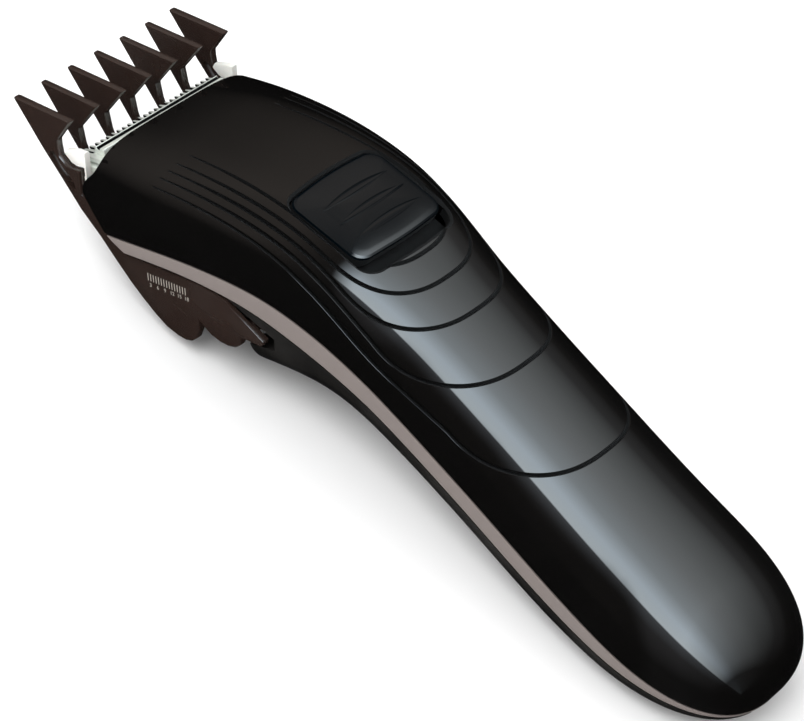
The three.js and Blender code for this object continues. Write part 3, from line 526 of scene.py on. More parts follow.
def mark_tooth_shade(mesh):
    """Marks the flanks of the cutter teeth and the bottom of the rib's groove for painted shade, the shade
    between the teeth and in the groove.
    """
    x, _, z = read(mesh.polygons, "center").T
    _, sideways, upward = read(mesh.polygons, "normal").T
    flank = (np.abs(sideways) > 0.4) & (x < 6.4)
    groove = (x > 6.9) & (x < 7.75) & (z > 1.2) & (z < 2.2) & (np.abs(sideways) < 0.1) & (upward > 0.1)
    return mark_painted_shade(mesh, flank | groove)


def shade(mesh, angle=32):
    """Smooth shading, with edges kept sharp above the angle."""
    mesh.shade_smooth()
    mesh.set_sharp_from_angle(angle=math.radians(angle))
    return mesh


def shade_skin(mesh):
    """Smooth shading, where the faces on the body's skin get the skin's own directions."""
    shade(mesh)
    mesh.update()
    directions = read(mesh.corner_normals, "vector")
    distance, outward = body_normals(read(mesh.vertices, "co"))
    corner = np.empty(len(mesh.loops), int)
    mesh.loops.foreach_get("vertex_index", corner)
    sides = np.empty(len(mesh.polygons), int)
    mesh.polygons.foreach_get("loop_total", sides)
    flat = np.repeat(read(mesh.polygons, "normal"), sides, axis=0)
    on_skin = (np.abs(distance[corner]) < 0.12) & ((flat * outward[corner]).sum(1) > 0.93)
    directions[on_skin] = outward[corner][on_skin]
    mesh.normals_split_custom_set([tuple(v) for v in directions])
    return mesh


DUST_COLOUR = (0.42, 0.4, 0.37, 1)
# Near black, painted on the faces marked "recess": painted shade in the grooves, the gaps and between the
# cutter teeth.
PAINTED_SHADE_COLOUR = (0.0006, 0.0006, 0.0006, 1)


def linear(colour):
    return tuple((c / 12.92 if c <= 0.04045 else ((c + 0.055) / 1.055) ** 2.4) for c in colour[:3])


def surface_group():
    """Shared finish: fine grain, cloudy wear and hairline scratches on object coordinates."""
    name = "Moulded finish"
    if name in bpy.data.node_groups:
        return bpy.data.node_groups[name]
    tree = bpy.data.node_groups.new(name, "ShaderNodeTree")
    add_sockets(tree, "INPUT", (("Grain Size", "Float", 900.0), ("Grain Depth", "Float", 0.3),
                                ("Roughness", "Float", 0.3), ("Roughness Spread", "Float", 0.08),
                                ("Scratches", "Float", 0.2), ("Dust", "Float", 0.1),
                                ("Colour", "Color", (0.1, 0.1, 0.1, 1))))
    add_sockets(tree, "OUTPUT", (("Colour", "Color"), ("Roughness", "Float"), ("Height", "Float")))
    given = tree.nodes.new("NodeGroupInput").outputs
    place = tree.nodes.new("ShaderNodeTexCoord").outputs["Object"]
    grain = noise(tree, place, given["Grain Size"], 4)
    cloud = noise(tree, place, 42, 5)

    stretched = add_node(tree, "ShaderNodeMapping", {"Vector": place, "Scale": (60, 2600, 900),
                                                     "Rotation": (0, 0, 0.4)})
    hair = noise(tree, stretched.outputs["Vector"], 1, 2)
    scratch = math_node(tree, "MULTIPLY", map_range(tree, hair, 0.64, 0.74), given["Scratches"])

    centred = math_node(tree, "SUBTRACT", cloud, 0.5)
    cloudy = math_node(tree, "MULTIPLY_ADD", centred, given["Roughness Spread"], given["Roughness"])
    rough = math_node(tree, "MULTIPLY_ADD", scratch, 0.35, cloudy, clamp=True)
    dusty = math_node(tree, "MULTIPLY", map_range(tree, cloud, 0.5, 0.8), given["Dust"])
    colour = mix_colour(tree, dusty, given["Colour"], DUST_COLOUR)
    height = math_node(tree, "SUBTRACT", math_node(tree, "MULTIPLY", grain, given["Grain Depth"]), scratch)
    add_node(tree, "NodeGroupOutput", {"Colour": colour, "Roughness": rough, "Height": height})
    return tree


def finish(name, colour, roughness, metallic=0.0, coat=0.0, coat_roughness=0.05, grain=(900, 0.3),
           spread=0.08, scratches=0.2, dust=0.02, bump=0.05, glow_through=0.0):
    """A material of the shared finish. Grain is its scale and its depth."""
    material = bpy.data.materials.get(name)
    if material:
        return material
    material = bpy.data.materials.new(name)
    material.use_nodes = True
    tree = material.node_tree
    shader = tree.nodes["Principled BSDF"]
    shader.inputs["Metallic"].default_value = metallic
    shader.inputs["Coat Weight"].default_value = coat
    shader.inputs["Coat Roughness"].default_value = coat_roughness
    if glow_through:
        shader.inputs["Subsurface Weight"].default_value = glow_through
        shader.inputs["Subsurface Radius"].default_value = (0.002, 0.0012, 0.001)
    values = {"Grain Size": grain[0], "Grain Depth": grain[1], "Roughness": roughness,
              "Roughness Spread": spread, "Scratches": scratches, "Dust": dust,
              "Colour": (*linear(colour), 1)}
    group = tree.nodes.new("ShaderNodeGroup")
    group.node_tree = surface_group()
    for label, value in values.items():
        group.inputs[label].default_value = value
    relief = add_node(tree, "ShaderNodeBump", {"Strength": bump, "Distance": 0.0001,
                                               "Height": group.outputs["Height"]})
    for socket, output in (("Base Color", group.outputs["Colour"]), ("Roughness", group.outputs["Roughness"]),
                           ("Normal", relief.outputs["Normal"])):
        tree.links.new(output, shader.inputs[socket])
    return material


def shader_and_group(material):
    nodes = material.node_tree.nodes
    return nodes["Principled BSDF"], next(node for node in nodes if node.type == "GROUP")


def brushed(name, colour, roughness, along, metallic=0.85):
    """Ground or rolled metal, with its lines along the axis of the smallest number."""
    material = bpy.data.materials.get(name)
    if material:
        return material
    material = finish(name, colour, roughness, metallic=metallic, grain=(1500, 0.1), scratches=0.15,
                      bump=0.04)
    tree = material.node_tree
    shader, group = shader_and_group(material)
    place = tree.nodes.new("ShaderNodeTexCoord").outputs["Object"]
    lines = add_node(tree, "ShaderNodeMapping", {"Vector": place, "Scale": along})
    streak = noise(tree, lines.outputs["Vector"], 1, 3)
    rough = math_node(tree, "MULTIPLY_ADD", streak, 0.25, group.outputs["Roughness"], clamp=True)
    tree.links.new(rough, shader.inputs["Roughness"])
    return material


def with_painted_shade(material):
    """Paints the marked faces dull and black: painted shade in the grooves, the gaps and on the tooth flanks.
    """
    tree = material.node_tree
    if any(node.type == "ATTRIBUTE" for node in tree.nodes):
        return material
    shader, group = shader_and_group(material)
    # The "recess" attribute picks the faces that get the painted shade.
    mark = add_node(tree, "ShaderNodeAttribute", attribute_name="recess").outputs["Fac"]
    colour = mix_colour(tree, mark, group.outputs["Colour"], PAINTED_SHADE_COLOUR)
    rough = add_node(tree, "ShaderNodeMix", {0: mark, 2: group.outputs["Roughness"], 3: 1.0})
    tree.links.new(colour, shader.inputs["Base Color"])
    tree.links.new(rough.outputs[0], shader.inputs["Roughness"])
    return material


# ---- settings ----
def colour_setting(name, description, default):
    return bpy.props.FloatVectorProperty(name=name, description=description, size=3, subtype="COLOR",
                                         default=default, min=0, max=1)


def size_setting(name, description, default, low, high):
    return bpy.props.FloatProperty(name=name, description=description + ", mm", default=default, min=low,
                                   max=high)


def count_setting(name, description, default, low, high):
    return bpy.props.IntProperty(name=name, description=description, default=default, min=low, max=high)


class ClipperColours(bpy.types.PropertyGroup):
    shell: colour_setting("Shell", "Gloss top shell", (0.035, 0.033, 0.032))
    trim: colour_setting("Trim", "Satin band between the shells", (0.6, 0.56, 0.545))
    underside: colour_setting("Underside", "Textured bottom shell", (0.1, 0.095, 0.09))
    button: colour_setting("Button", "Slide switch button", (0.008, 0.03, 0.048))
    comb: colour_setting("Comb", "Smoked length comb", (0.165, 0.125, 0.11))


class ClipperSizes(bpy.types.PropertyGroup):
    groove_width: size_setting("Groove width", "Width of the shell's styling grooves", 0.8, 0.3, 2)
    groove_depth: size_setting("Groove depth", "Depth of the shell's styling grooves", 0.9, 0.1, 1.4)
    edge_round: size_setting("Edge rounding", "Rounding of the comb's moulded edges", 0.35, 0.05, 1)
    comb_tooth: size_setting("Comb tooth", "Thickness of one comb tooth", 1.7, 1, 3)
    cutter_teeth: count_setting("Cutter teeth", "Teeth of the fixed cutter", 26, 8, 60)
    wave_count: count_setting("Grips", "Finger grips on the switch button", 3, 1, 6)


def settings():
    scene = bpy.context.scene
    return scene.clipper_sizes, scene.clipper_colours


def place_piece(mesh, name, material, body, nodes, matrix=None):
    """Puts a finished mesh in the part's frame, on its body, in place of the frame's nodes."""
    mesh.transform(matrix or BODY)
    mesh.name = name
    mesh.materials.clear()
    mesh.materials.append(material)
    piece = new_object(name, mesh)
    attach(piece, body)
    if nodes:
        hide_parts(*nodes)


# ---- finishes ----
# The shell, button and blade finishes paint shade on the faces marked "recess".
def shell_finish():
    return with_painted_shade(finish("Gloss black shell", settings()[1].shell, 0.05, grain=(2600, 0.08), spread=0.03,
                           scratches=0.1, dust=0.002, bump=0.01))


def trim_finish():
    return finish("Satin silver trim", settings()[1].trim, 0.36, metallic=0.35, grain=(5200, 0.6), dust=0.03,
                  bump=0.08)


def underside_finish():
    return finish("Textured underside", settings()[1].underside, 0.46, grain=(3200, 1.0), spread=0.14,
                  scratches=0.35, dust=0.05, bump=0.35)


def button_finish():
    return with_painted_shade(finish("Satin switch button", settings()[1].button, 0.15, grain=(4200, 0.3), spread=0.04,
                           scratches=0.12, dust=0.006, bump=0.03))


def comb_finish():
    return finish("Smoked comb", settings()[1].comb, 0.22, coat=0.3, coat_roughness=0.08, grain=(2400, 0.25),
                  spread=0.07, dust=0.03, bump=0.03, glow_through=0.12)


def frame_plastic():
    return finish("White moulded plastic", (0.9, 0.9, 0.88), 0.38, grain=(2600, 0.7), spread=0.1, dust=0.06,
                  bump=0.1, glow_through=0.2)


def blade_finish():
    return with_painted_shade(brushed("Ground blade steel", (0.93, 0.95, 0.92), 0.3, (30, 2600, 2600), metallic=0.55))


# ---- grooves of the top shell ----
# Each groove runs down one side of the head, closes round across the handle and comes back: where it closes,
# its half width beside the switch, and its half width at the front of the head.
GROOVES = ((64.9, 13.9, 12.6), (71.3, 16.2, 15.9), (79.6, 17.9, 18.2), (93.2, 18.9, 20.2),
           (115.2, 18.9, 22.0))
GROOVE_FRONT = 19.0
GROOVE_STEPS = 60
GROOVE_SQUARENESS = 2.6
GROOVE_FADE = 26        # steps over which a groove fades in at its ends
# Its section: distance from its middle in half widths, and level in depths when under the skin, else in mm.
GROOVE_SECTION = ((-1.25, 0.5), (-1.25, 0.03), (-1.0, -0.06), (-0.85, -0.35), (-0.5, -0.9), (0, -1.0),
                  (0.5, -0.9), (0.85, -0.35), (1.0, -0.06), (1.25, 0.03), (1.25, 0.5))


def groove_line(close, half, front_half):
    """Points (x, y) of one groove, from the head's left side round to its right side."""
    turn_start = close - half * 1.15
    angle = np.linspace(0, math.pi / 2, GROOVE_STEPS)[::-1]
    turn_x = turn_start + (close - turn_start) * np.cos(angle) ** (2 / GROOVE_SQUARENESS)
    turn_y = half * np.sin(angle) ** (2 / GROOVE_SQUARENESS)
    run_x = np.linspace(GROOVE_FRONT, turn_start, GROOVE_STEPS, endpoint=False)
    share = np.clip((run_x - GROOVE_FRONT) / (turn_start - GROOVE_FRONT), 0, 1)
    run_y = front_half + (half - front_half) * share**1.5
    x, y = np.concatenate([run_x, turn_x]), np.concatenate([run_y, turn_y])
    return np.concatenate([np.stack([x, y], 1), np.stack([x, -y], 1)[::-1][1:]])


def groove_cutter(close, half, front_half, width, depth):
    """A bar with a hollow section that follows the groove's line on the shell and fades out at its ends."""
    plan = groove_line(close, half, front_half)
    x, y = plan[np.abs(plan[:, 1]) < half_width(plan[:, 0]) - 0.4].T
    centre = np.stack([x, y, shell_height(x, y)], 1)
    along = np.gradient(centre, axis=0)
    along /= np.linalg.norm(along, axis=1)[:, None]
    outward = body_normals(centre)[1]
    sideways = np.cross(along, outward)
    sideways /= np.linalg.norm(sideways, axis=1)[:, None]
    steps = np.arange(len(x))
    fade = np.clip(np.minimum(steps, steps[::-1]) / GROOVE_FADE, 0, 1) ** 0.7
    rings = []
    for i, reach in enumerate(fade):
        half_line = width / 2 * (0.35 + 0.65 * reach)
        ring = []
        for side, level in GROOVE_SECTION:
            lift = level * depth * reach if level < 0 else level
            ring.append(centre[i] + sideways[i] * side * half_line + outward[i] * (lift + 0.01))
        rings.append(np.array(ring))
    return facing_out(loft(rings))


# ---- pieces ----
# The bottom shell in the head's frame, and its holes.
COMB_RECESS, CORE_RAISE, RAIL_REACH = 4.1, 3.5, 21.9
COMB_SPACE = ((-40, -10), (43.4, -10), (43.4, -17), (53.2, -23), (52.8, -25.8), (46.6, -26.2), (46.6, -70),
              (-40, -70))
CHIN = ((10, -8), (14.3, -14), (18, -18.5), (22, -22.5), (27, -27), (31, -29.5), (31, -70), (-40, -70),
        (-40, -8))
CHIN_INSIDE = ((-40, -6.2), (15.6, -6.2), (17.7, -14), (20.4, -17.2), (24, -21), (29, -25.4), (29, -70),
               (-40, -70))
BEHIND_HEAD = ((57, 60), (57, -80), (200, -80), (200, 60))
BOTTOM_FRONT = ((-40, 40), (-40, -60), (25.19, -60), (3.19, 40))
RAIL_FROM, RAIL_TO, RAIL_FLOOR, RAIL_TOP, RAIL_INSIDE = 18, 40, -21, -19, 18
SCREW_RADIUS, SCREW_HEAD_RADIUS, SCREW_DEPTH, BOSS_RADIUS = 1.4, 2.7, 3.6, 4.1
SCREW_SIDE = HANDLE_HALF_WIDTH - WALL - SCREW_RADIUS - 2.1 - 1.3
SCREW_PLACES = ((78, SCREW_SIDE), (78, -SCREW_SIDE), (on_handle(0.66), 0))
INLET_BACK, INLET_CEILING, INLET_HALF_WIDTH, INLET_WALL = -4, 5.3, 4.4, 0.95
PIN_ROOM, PIN_FLOOR = 4.6, 1.85

# How deep the switch's recess is under the skin, and how much wider it grows there. It goes right through.
RECESS_STEPS = ((-9, 0.0), (-0.55, 0.12), (-0.25, 0.4), (0.2, 1.0))
RECESS_BOTTOM = -9
RECESS_CORNER = 3.5


def screw_seat(x, y):
    """Height of the shoulder under a screw's head."""
    half = float(half_width(x)) - TRIM_STEP
    power = float(squareness(x))
    share = (1 - min(abs(y) / half, 0.999) ** power) ** (1 / power)
    return float(trim_edge(x)) - (float(trim_edge(x)) - float(belly(x))) * share + SCREW_DEPTH


def lying_room(matrix):
    """Everything under the surface the clipper lies on."""
    return block(-200, 120, -SIDE, SIDE, -SIDE, 0, matrix)


class CLIPPER_OT_casing(bpy.types.Operator):
    """Build the top shell, the trim band and the bottom shell"""
    bl_idname = "clipper.casing"
    bl_label = "Casing"

    def execute(self, context):
        outer = body_skin(0, 0, 60, 170)
        cavity = body_skin(WALL, WALL, 24, 60)
        # Faces in the top shell's grooves and in the walls of the switch's recess get painted shade.
        place_piece(mark_shade_by_depth(shade_skin(self.top(outer, cavity)), 0.07, 1.9), "top_shell_finished",
                    shell_finish(), "casing", ["top_shell"])
        band = common(outer.copy(), below(top_edge, -GAP / 2), above(trim_edge, GAP / 2))
        band = cut(band, cavity.copy(), opening_cut())
        place_piece(shade_skin(band), "side_trim_finished", trim_finish(), "casing", ["side_trim"])
        place_piece(shade(self.bottom(outer, cavity), angle=35), "bottom_shell_finished", underside_finish(),
                    "casing", ["bottom_shell"])
        return {"FINISHED"}

    def top(self, outer, cavity):
        """The upper half of the casing, with the switch's recess and the styling grooves."""
        sizes = settings()[0]
        made = common(outer.copy(), above(top_edge, GAP / 2))
        made = cut(made, cavity.copy(), opening_cut())
        profile = []
        for depth, grow in RECESS_STEPS:
            outline = rounded_outline(-SWITCH_LENGTH / 2 - grow, SWITCH_LENGTH / 2 + grow,
                                      SWITCH_HALF_WIDTH + grow, RECESS_CORNER + grow, bow=0.5)
            ring = []
            for along, y in outline:
                at = SWITCH_TO_BODY @ Vector((along, y, 0))
                surface = float(shell_height(SWITCH_MIDDLE + along * math.cos(SWITCH_SLOPE), y))
                ring.append((at.x, at.y, (at.z if depth == RECESS_BOTTOM else surface) + depth))
            profile.append(np.array(ring))
        profile.append(profile[-1] + np.array([0, 0, 6.0]))
        made = cut(made, facing_out(loft(profile)))
        for groove in GROOVES:
            made = cut(made, groove_cutter(*groove, sizes.groove_width, sizes.groove_depth))
        return made

    def bottom(self, outer, cavity):
        """The lower half of the casing: narrowed head, chin, screw holes and the power inlet's opening."""
        core = body_skin(COMB_RECESS, COMB_RECESS + CORE_RAISE, 30, 120)
        hollow = body_skin(COMB_RECESS + WALL, COMB_RECESS + CORE_RAISE + WALL, 24, 60)
        made = cut(outer.copy(), cut(across(COMB_SPACE, HEAD_TO_BODY), core.copy()))
        for side in (-1, 1):
            y0, y1 = sorted((side * RAIL_INSIDE, side * RAIL_REACH))
            rail = bevelled(block(RAIL_FROM, RAIL_TO, y0, y1, RAIL_FLOOR, RAIL_TOP), 0.3)
            rail.transform(HEAD_TO_BODY)
            made = joined(made, rail)
        made = cut(made, cut(hollow, across(CHIN_INSIDE, HEAD_TO_BODY)),
                   common(cavity.copy(), across(BEHIND_HEAD, HEAD_TO_BODY)))
        made = common(made, below(trim_edge, -GAP / 2))
        made = cut(made, across(BOTTOM_FRONT, HEAD_TO_BODY), across(CHIN, HEAD_TO_BODY))
        for x, y in SCREW_PLACES:
            low, high = float(belly(x)), float(top_edge(x))
            made = joined(made, common(rod_z(BOSS_RADIUS, low + 0.4, high - GAP, x, y), outer.copy()))
            made = cut(made, rod_z(SCREW_HEAD_RADIUS + GAP, low - 6, screw_seat(x, y) + GAP, x, y),
                       rod_z(SCREW_RADIUS + GAP, low, high + 1, x, y))
        half = INLET_HALF_WIDTH + INLET_WALL + GAP
        opening = block(INLET_BACK - GAP, 45, -half, half, -5, INLET_CEILING + INLET_WALL + GAP, REST_TO_BODY)
        pin_room = block(INLET_BACK - PIN_ROOM, INLET_BACK, -half, half, PIN_FLOOR, INLET_CEILING + 6,
                         REST_TO_BODY)
        return cut(made, opening, pin_room, lying_room(REST_TO_BODY))


# The button's height over the shell and how much its outline has shrunk there, from its foot to its crown.
BUTTON_STEPS = ((-2.6, 0.0), (-0.5, 0.0), (-0.05, 0.12), (0.16, 0.5), (0.24, 1.1))
BUTTON_CORNER, BUTTON_BOW, BUTTON_DOME = 3.2, 0.45, 0.08
# The flap under the shell, which closes the recess wherever the button stands. It is a dark sheet for the
# shadow in the gap round the button: with the button's foot it gets painted shade.
FLAP_LEVELS = (-3.75, -3.4)
FLAP_FRONT, FLAP_BACK, FLAP_CORNER = 3.6, 1.2, 2
# Sections of the finger grips: distance behind the grip's middle and height over the button.
GRIP_HOLLOW = ((-1.7, 1.2), (-1.65, 0.0), (-1.5, -0.38), (-0.7, -0.28), (-0.7, 1.2))
GRIP_RIDGE = ((-0.8, -0.5), (-0.8, -0.32), (-0.05, 0.13), (0.1, 0.15), (0.66, -0.27), (0.66, -0.5))
GRIP_FIRST, GRIP_PITCH, GRIP_REACH = -4.4, 4.3, 9.6


def on_switch(outline, height):
    """A ring of points over the shell, from an outline in the switch's own plane."""
    ring = []
    for along, y in outline:
        at = SWITCH_TO_BODY @ Vector((along, y, 0))
        ring.append((at.x, at.y, float(shell_height(at.x, y)) + height))
    return np.array(ring)


class CLIPPER_OT_switch(bpy.types.Operator):
    """Build the slide switch button with its finger grips and the flap under it, painted black as the shade
    in its gap
    """
    bl_idname = "clipper.switch"
    bl_label = "Switch button"

    def execute(self, context):
        grips = [GRIP_FIRST + GRIP_PITCH * i for i in range(settings()[0].wave_count)]
        button = self.button()
        for along in grips:
            button = cut(button, self.lens(along, GRIP_HOLLOW))
        flap = rounded_outline(-SWITCH_LENGTH / 2 - FLAP_FRONT, SWITCH_LENGTH / 2 + FLAP_BACK,
                               SWITCH_HALF_WIDTH - 0.4, FLAP_CORNER)
        button = joined(button, facing_out(loft([on_switch(flap, level) for level in FLAP_LEVELS])))
        for along in grips:
            button = joined(button, self.lens(along, GRIP_RIDGE))
        # The button's foot and the flap, deeper than 0.7 mm under the skin, get painted shade.
        place_piece(mark_shade_by_depth(shade(button, angle=14), 0.7, 9), "switch_button_finished", button_finish(),
                    "switch", ["switch_button"])
        return {"FINISHED"}

    def button(self):
        front, back = -SWITCH_LENGTH / 2 + GAP, SWITCH_LENGTH / 2 - SWITCH_TRAVEL - GAP
        rings = []
        for height, shrink in BUTTON_STEPS:
            outline = rounded_outline(front + shrink, back - shrink, SWITCH_HALF_WIDTH - GAP - shrink,
                                      BUTTON_CORNER - shrink * 0.5, bow=BUTTON_BOW)
            rings.append(on_switch(outline, height))
        outline, middle = np.array(outline), np.array([(front + back) / 2, 0])
        for part in np.linspace(0.94, 0.02, 30):
            rings.append(on_switch(middle + (outline - middle) * part, height + BUTTON_DOME * (1 - part**2)))
        return facing_out(loft(rings))

    def lens(self, along, section):
        """A bar across the button with the given section, tapering to nothing at both ends."""
        rings = []
        for share in np.linspace(-0.995, 0.995, 41):
            size = 1 - share**2
            ring = []
            for behind, height in section:
                lift = height if height > 1 else height * size
                place = (along + behind * size - 0.5 * (1 - size), share * GRIP_REACH)
                ring.append(on_switch([place], 0.2 + 0.09 * size + lift)[0])
            rings.append(np.array(ring))
        return facing_out(loft(rings))


# The comb in the head's frame.
ARM = ((-8.8, 11), (-2.2, 2), (2.2, -3.4), (6.6, -9), (11.2, -13.6), (14.9, -17.8), (18.4, -21.6),
       (21.3, -24.3), (24, -26.6), (26.7, -28.5), (29.6, -29.6), (31.6, -29.9), (33.1, -29.6),
       (34.4, -28.6), (35.2, -26.8), (35.5, -25.2), (35.4, -23.9), (36.5, -25), (38.4, -26.4),
       (40.7, -27.2), (42.7, -27.4), (44.4, -27.1), (45.6, -26.3), (46, -25.2), (45.8, -24.3),
       (51.2, -24.6), (51.8, -23.4), (42.6, -17.4), (36, -15.9), (17.2, -15.4), (14, -12), (10.6, -8),
       (9.2, -6.4), (7.2, -5.6), (7.2, -0.5), (5, -0.55), (3.8, -0.25), (2.1, 1.3), (1.9, 3.2), (1.9, 4.6),
       (5.9, 9.65))
TOOTH = ((-8.8, 11), (9.16, -14.5), (12.56, -15), (7, -8.6), (1.6, -2), (0.9, 0), (0.4, 3.4), (5.9, 9.65))
ARM_WINDOW = ((-0.6, 1.6), (1.4, -1.4), (4.8, -4.7), (5.9, -5.4), (5.6, -3.4), (3.6, -1.5), (2, 0.2),
              (0.9, 2.2))
WEB = ((9.4, -13.7), (13.4, -17.9), (19.6, -25), (24.4, -30.1), (27.5, -32.9), (29.6, -33.8), (29.6, -31.6),
       (28.2, -31), (25.7, -28.5), (21.2, -23.5), (15.1, -16.5), (12, -12.9))
HEEL = ((29.2, -33.9), (32.6, -33.4), (33.9, -30.4), (38, -29.4), (38, -28.5), (34, -28.5), (32, -31.4),
        (29.2, -31.7))
TONGUE_FROM, TONGUE_TO, TONGUE_HALF_WIDTH, HEEL_FROM = 19, 27, 13.4, 9.8
HEEL_BAR = (34, 38, -TONGUE_HALF_WIDTH, TONGUE_HALF_WIDTH, -29.4, -28.5)
# The length scale on the comb's arms.
TICKS, TICK_START, TICK_STEP = 15, (23.1, 0, -18.5), (0.68, 0, -0.012)
TICK_HALF_WIDTH, TICK_HALF_HEIGHT = 0.09, 0.8
NUMBERS, NUMBER_SIZE, NUMBER_START, NUMBER_PITCH, NUMBER_LEVEL = 6, 1.15, 23.6, 1.85, -20.6
PRINT_DEPTH = 0.06


def smooth_outline(points, rounds=2):
    """Cuts the corners of a closed outline, as a moulded edge has them."""
    line = np.array(points, float)
    for _ in range(rounds):
        after = np.roll(line, -1, axis=0)
        gap = np.linalg.norm(after - line, axis=1)[:, None]
        reach = np.minimum(0.25, 0.6 / np.maximum(gap, 1e-6))
        line = np.stack([line + (after - line) * reach, after - (after - line) * reach], 1).reshape(-1, 2)
    return [tuple(p) for p in line]


class CLIPPER_OT_comb(bpy.types.Operator):
    """Build the length comb with its teeth, arms, heel and length scale"""
    bl_idname = "clipper.comb"
    bl_label = "Length comb"

    def execute(self, context):
        sizes = settings()[0]
        rounding = sizes.edge_round
        inner = COMB_HALF_WIDTH - COMB_WALL
        pitch = (2 * COMB_HALF_WIDTH - COMB_WALL) / (COMB_TEETH - 1)
        half = sizes.comb_tooth / 2
        first = bevelled(prism_y(TOOTH, -half, half), rounding)
        middle_teeth = row_of(first, COMB_TEETH - 2, (0, -(COMB_TEETH - 3) / 2 * pitch, 0), (0, pitch, 0),
                              comb_finish())
        wide = inner + 0.5
        tongue = prism_z([(-20, -wide), (TONGUE_FROM, -wide), (TONGUE_TO, -TONGUE_HALF_WIDTH),
                          (60, -TONGUE_HALF_WIDTH), (60, TONGUE_HALF_WIDTH), (TONGUE_TO, TONGUE_HALF_WIDTH),
                          (TONGUE_FROM, wide), (-20, wide)], -60, 20)
        made = joined(common(prism_y(WEB, -wide, wide), tongue), middle_teeth)
        window = smooth_outline(ARM_WINDOW)
        for side in (-1, 1):
            y0, y1 = sorted((side * inner, side * COMB_HALF_WIDTH))
            plate = cut(bevelled(prism_y(ARM, y0, y1), rounding), prism_y(window, -40, 40))
            y0, y1 = sorted((side * HEEL_FROM, side * TONGUE_HALF_WIDTH))
            made = joined(made, plate, bevelled(prism_y(HEEL, y0, y1), 0.15))
        made = joined(made, bevelled(block(*HEEL_BAR), 0.2))
        for side in (-1, 1):
            y0, y1 = sorted((side * (inner - 1), side * (RAIL_REACH + GAP)))
            made = cut(made, block(RAIL_FROM - GAP, 70, y0, y1, RAIL_FLOOR - GAP, RAIL_TOP + GAP))
        made = cut(made, lying_room(BODY_TO_HEAD @ REST_TO_BODY))
        place_piece(shade(made), "guide_comb_finished", comb_finish(), "comb", ["guide_comb"],
                    HEAD)
        for side, name in ((-1, "left"), (1, "right")):
            self.length_scale(side, name)
        return {"FINISHED"}

    def length_scale(self, side, name):
        """Raised marks on one arm: a row of ticks with numbers under them."""
        paint = finish("Scale print", (0.62, 0.6, 0.57), 0.5, grain=(3000, 0.5), dust=0.1, bump=0.05)
        face = side * (COMB_HALF_WIDTH + 0.02)
        y0, y1 = sorted((face, face - side * PRINT_DEPTH))
        tick = block(-TICK_HALF_WIDTH, TICK_HALF_WIDTH, y0, y1, -TICK_HALF_HEIGHT, TICK_HALF_HEIGHT)
        parts = [row_of(tick, TICKS, TICK_START, TICK_STEP, paint)]
        upright = Matrix.Rotation(math.pi / 2, 4, "X")
        turn = Matrix.Rotation(math.pi, 4, "Z") if side > 0 else Matrix.Identity(4)
        for i in range(NUMBERS):
            curve = bpy.data.curves.new("number", "FONT")
            curve.body = str(3 + 3 * i)
            curve.size = NUMBER_SIZE
            curve.extrude = PRINT_DEPTH / 2
            curve.align_x = "CENTER"
            text = new_object("number", curve)
            mesh = evaluated_mesh(text)
            bpy.data.objects.remove(text)
            place = (NUMBER_START + NUMBER_PITCH * i, face - side * PRINT_DEPTH / 2, NUMBER_LEVEL)
            mesh.transform(Matrix.Translation(place) @ turn @ upright)
            parts.append(mesh)
        place_piece(merged(*parts), f"length_scale_{name}", paint, "comb", [], HEAD)


# The cutting unit in the head's frame: each cutter's tip, tooth root, back, underside and top.
FIXED_CUTTER = (2.3, 5.6, 12.2, -1.6, -0.5)
MOVING_CUTTER = (2.9, 6.1, 9.9, -0.15, 0.75)
MOVING_HALF_WIDTH = CUTTER_HALF_WIDTH - 1.24
RIB = ((6.3, 0.5), (9.1, 0.5), (9.1, 1.4), (8.75, 2.2), (7.85, 2.25), (7.65, 1.8), (7.05, 1.8), (6.85, 2.3),
       (6.6, 2.3), (6.3, 1.8))
RIB_END = 1.6
# Half of a tooth's plan: distance behind the tip or the root, and half width in pitches.
TOOTH_TIP, TOOTH_SHOULDER, TOOTH_ROOT = (0, 0.12), (0.5, 0.2), (0.5, 0.37)
HOLDER_PLAN = ((3.6, -17), (5.2, -19.6), (7.55, -20.4), (7.55, -22.2), (13.9, -22.2), (13.9, 22.2),
               (7.55, 22.2), (7.55, 20.4), (5.2, 19.6), (3.6, 17))
HOLDER_SIDE = ((3, -1.9), (3.6, -2.4), (6.2, -5.2), (13.9, -5.2), (13.9, -1.9))
CHEEK = ((2.6, 1.6), (4.2, 0.2), (5.2, -0.1), (7.55, -0.1), (7.55, -5.2), (10.5, -5.2), (10.5, 3.2), (6, 3.2),
         (3.2, 2.6))
CHEEK_INSIDE, CHEEK_OUTSIDE = 20.8, 22.2
CUTTER_SCREW_RADIUS, CUTTER_SCREW_BACK, CUTTER_SCREW_SIDE = 1.35, 9, 13


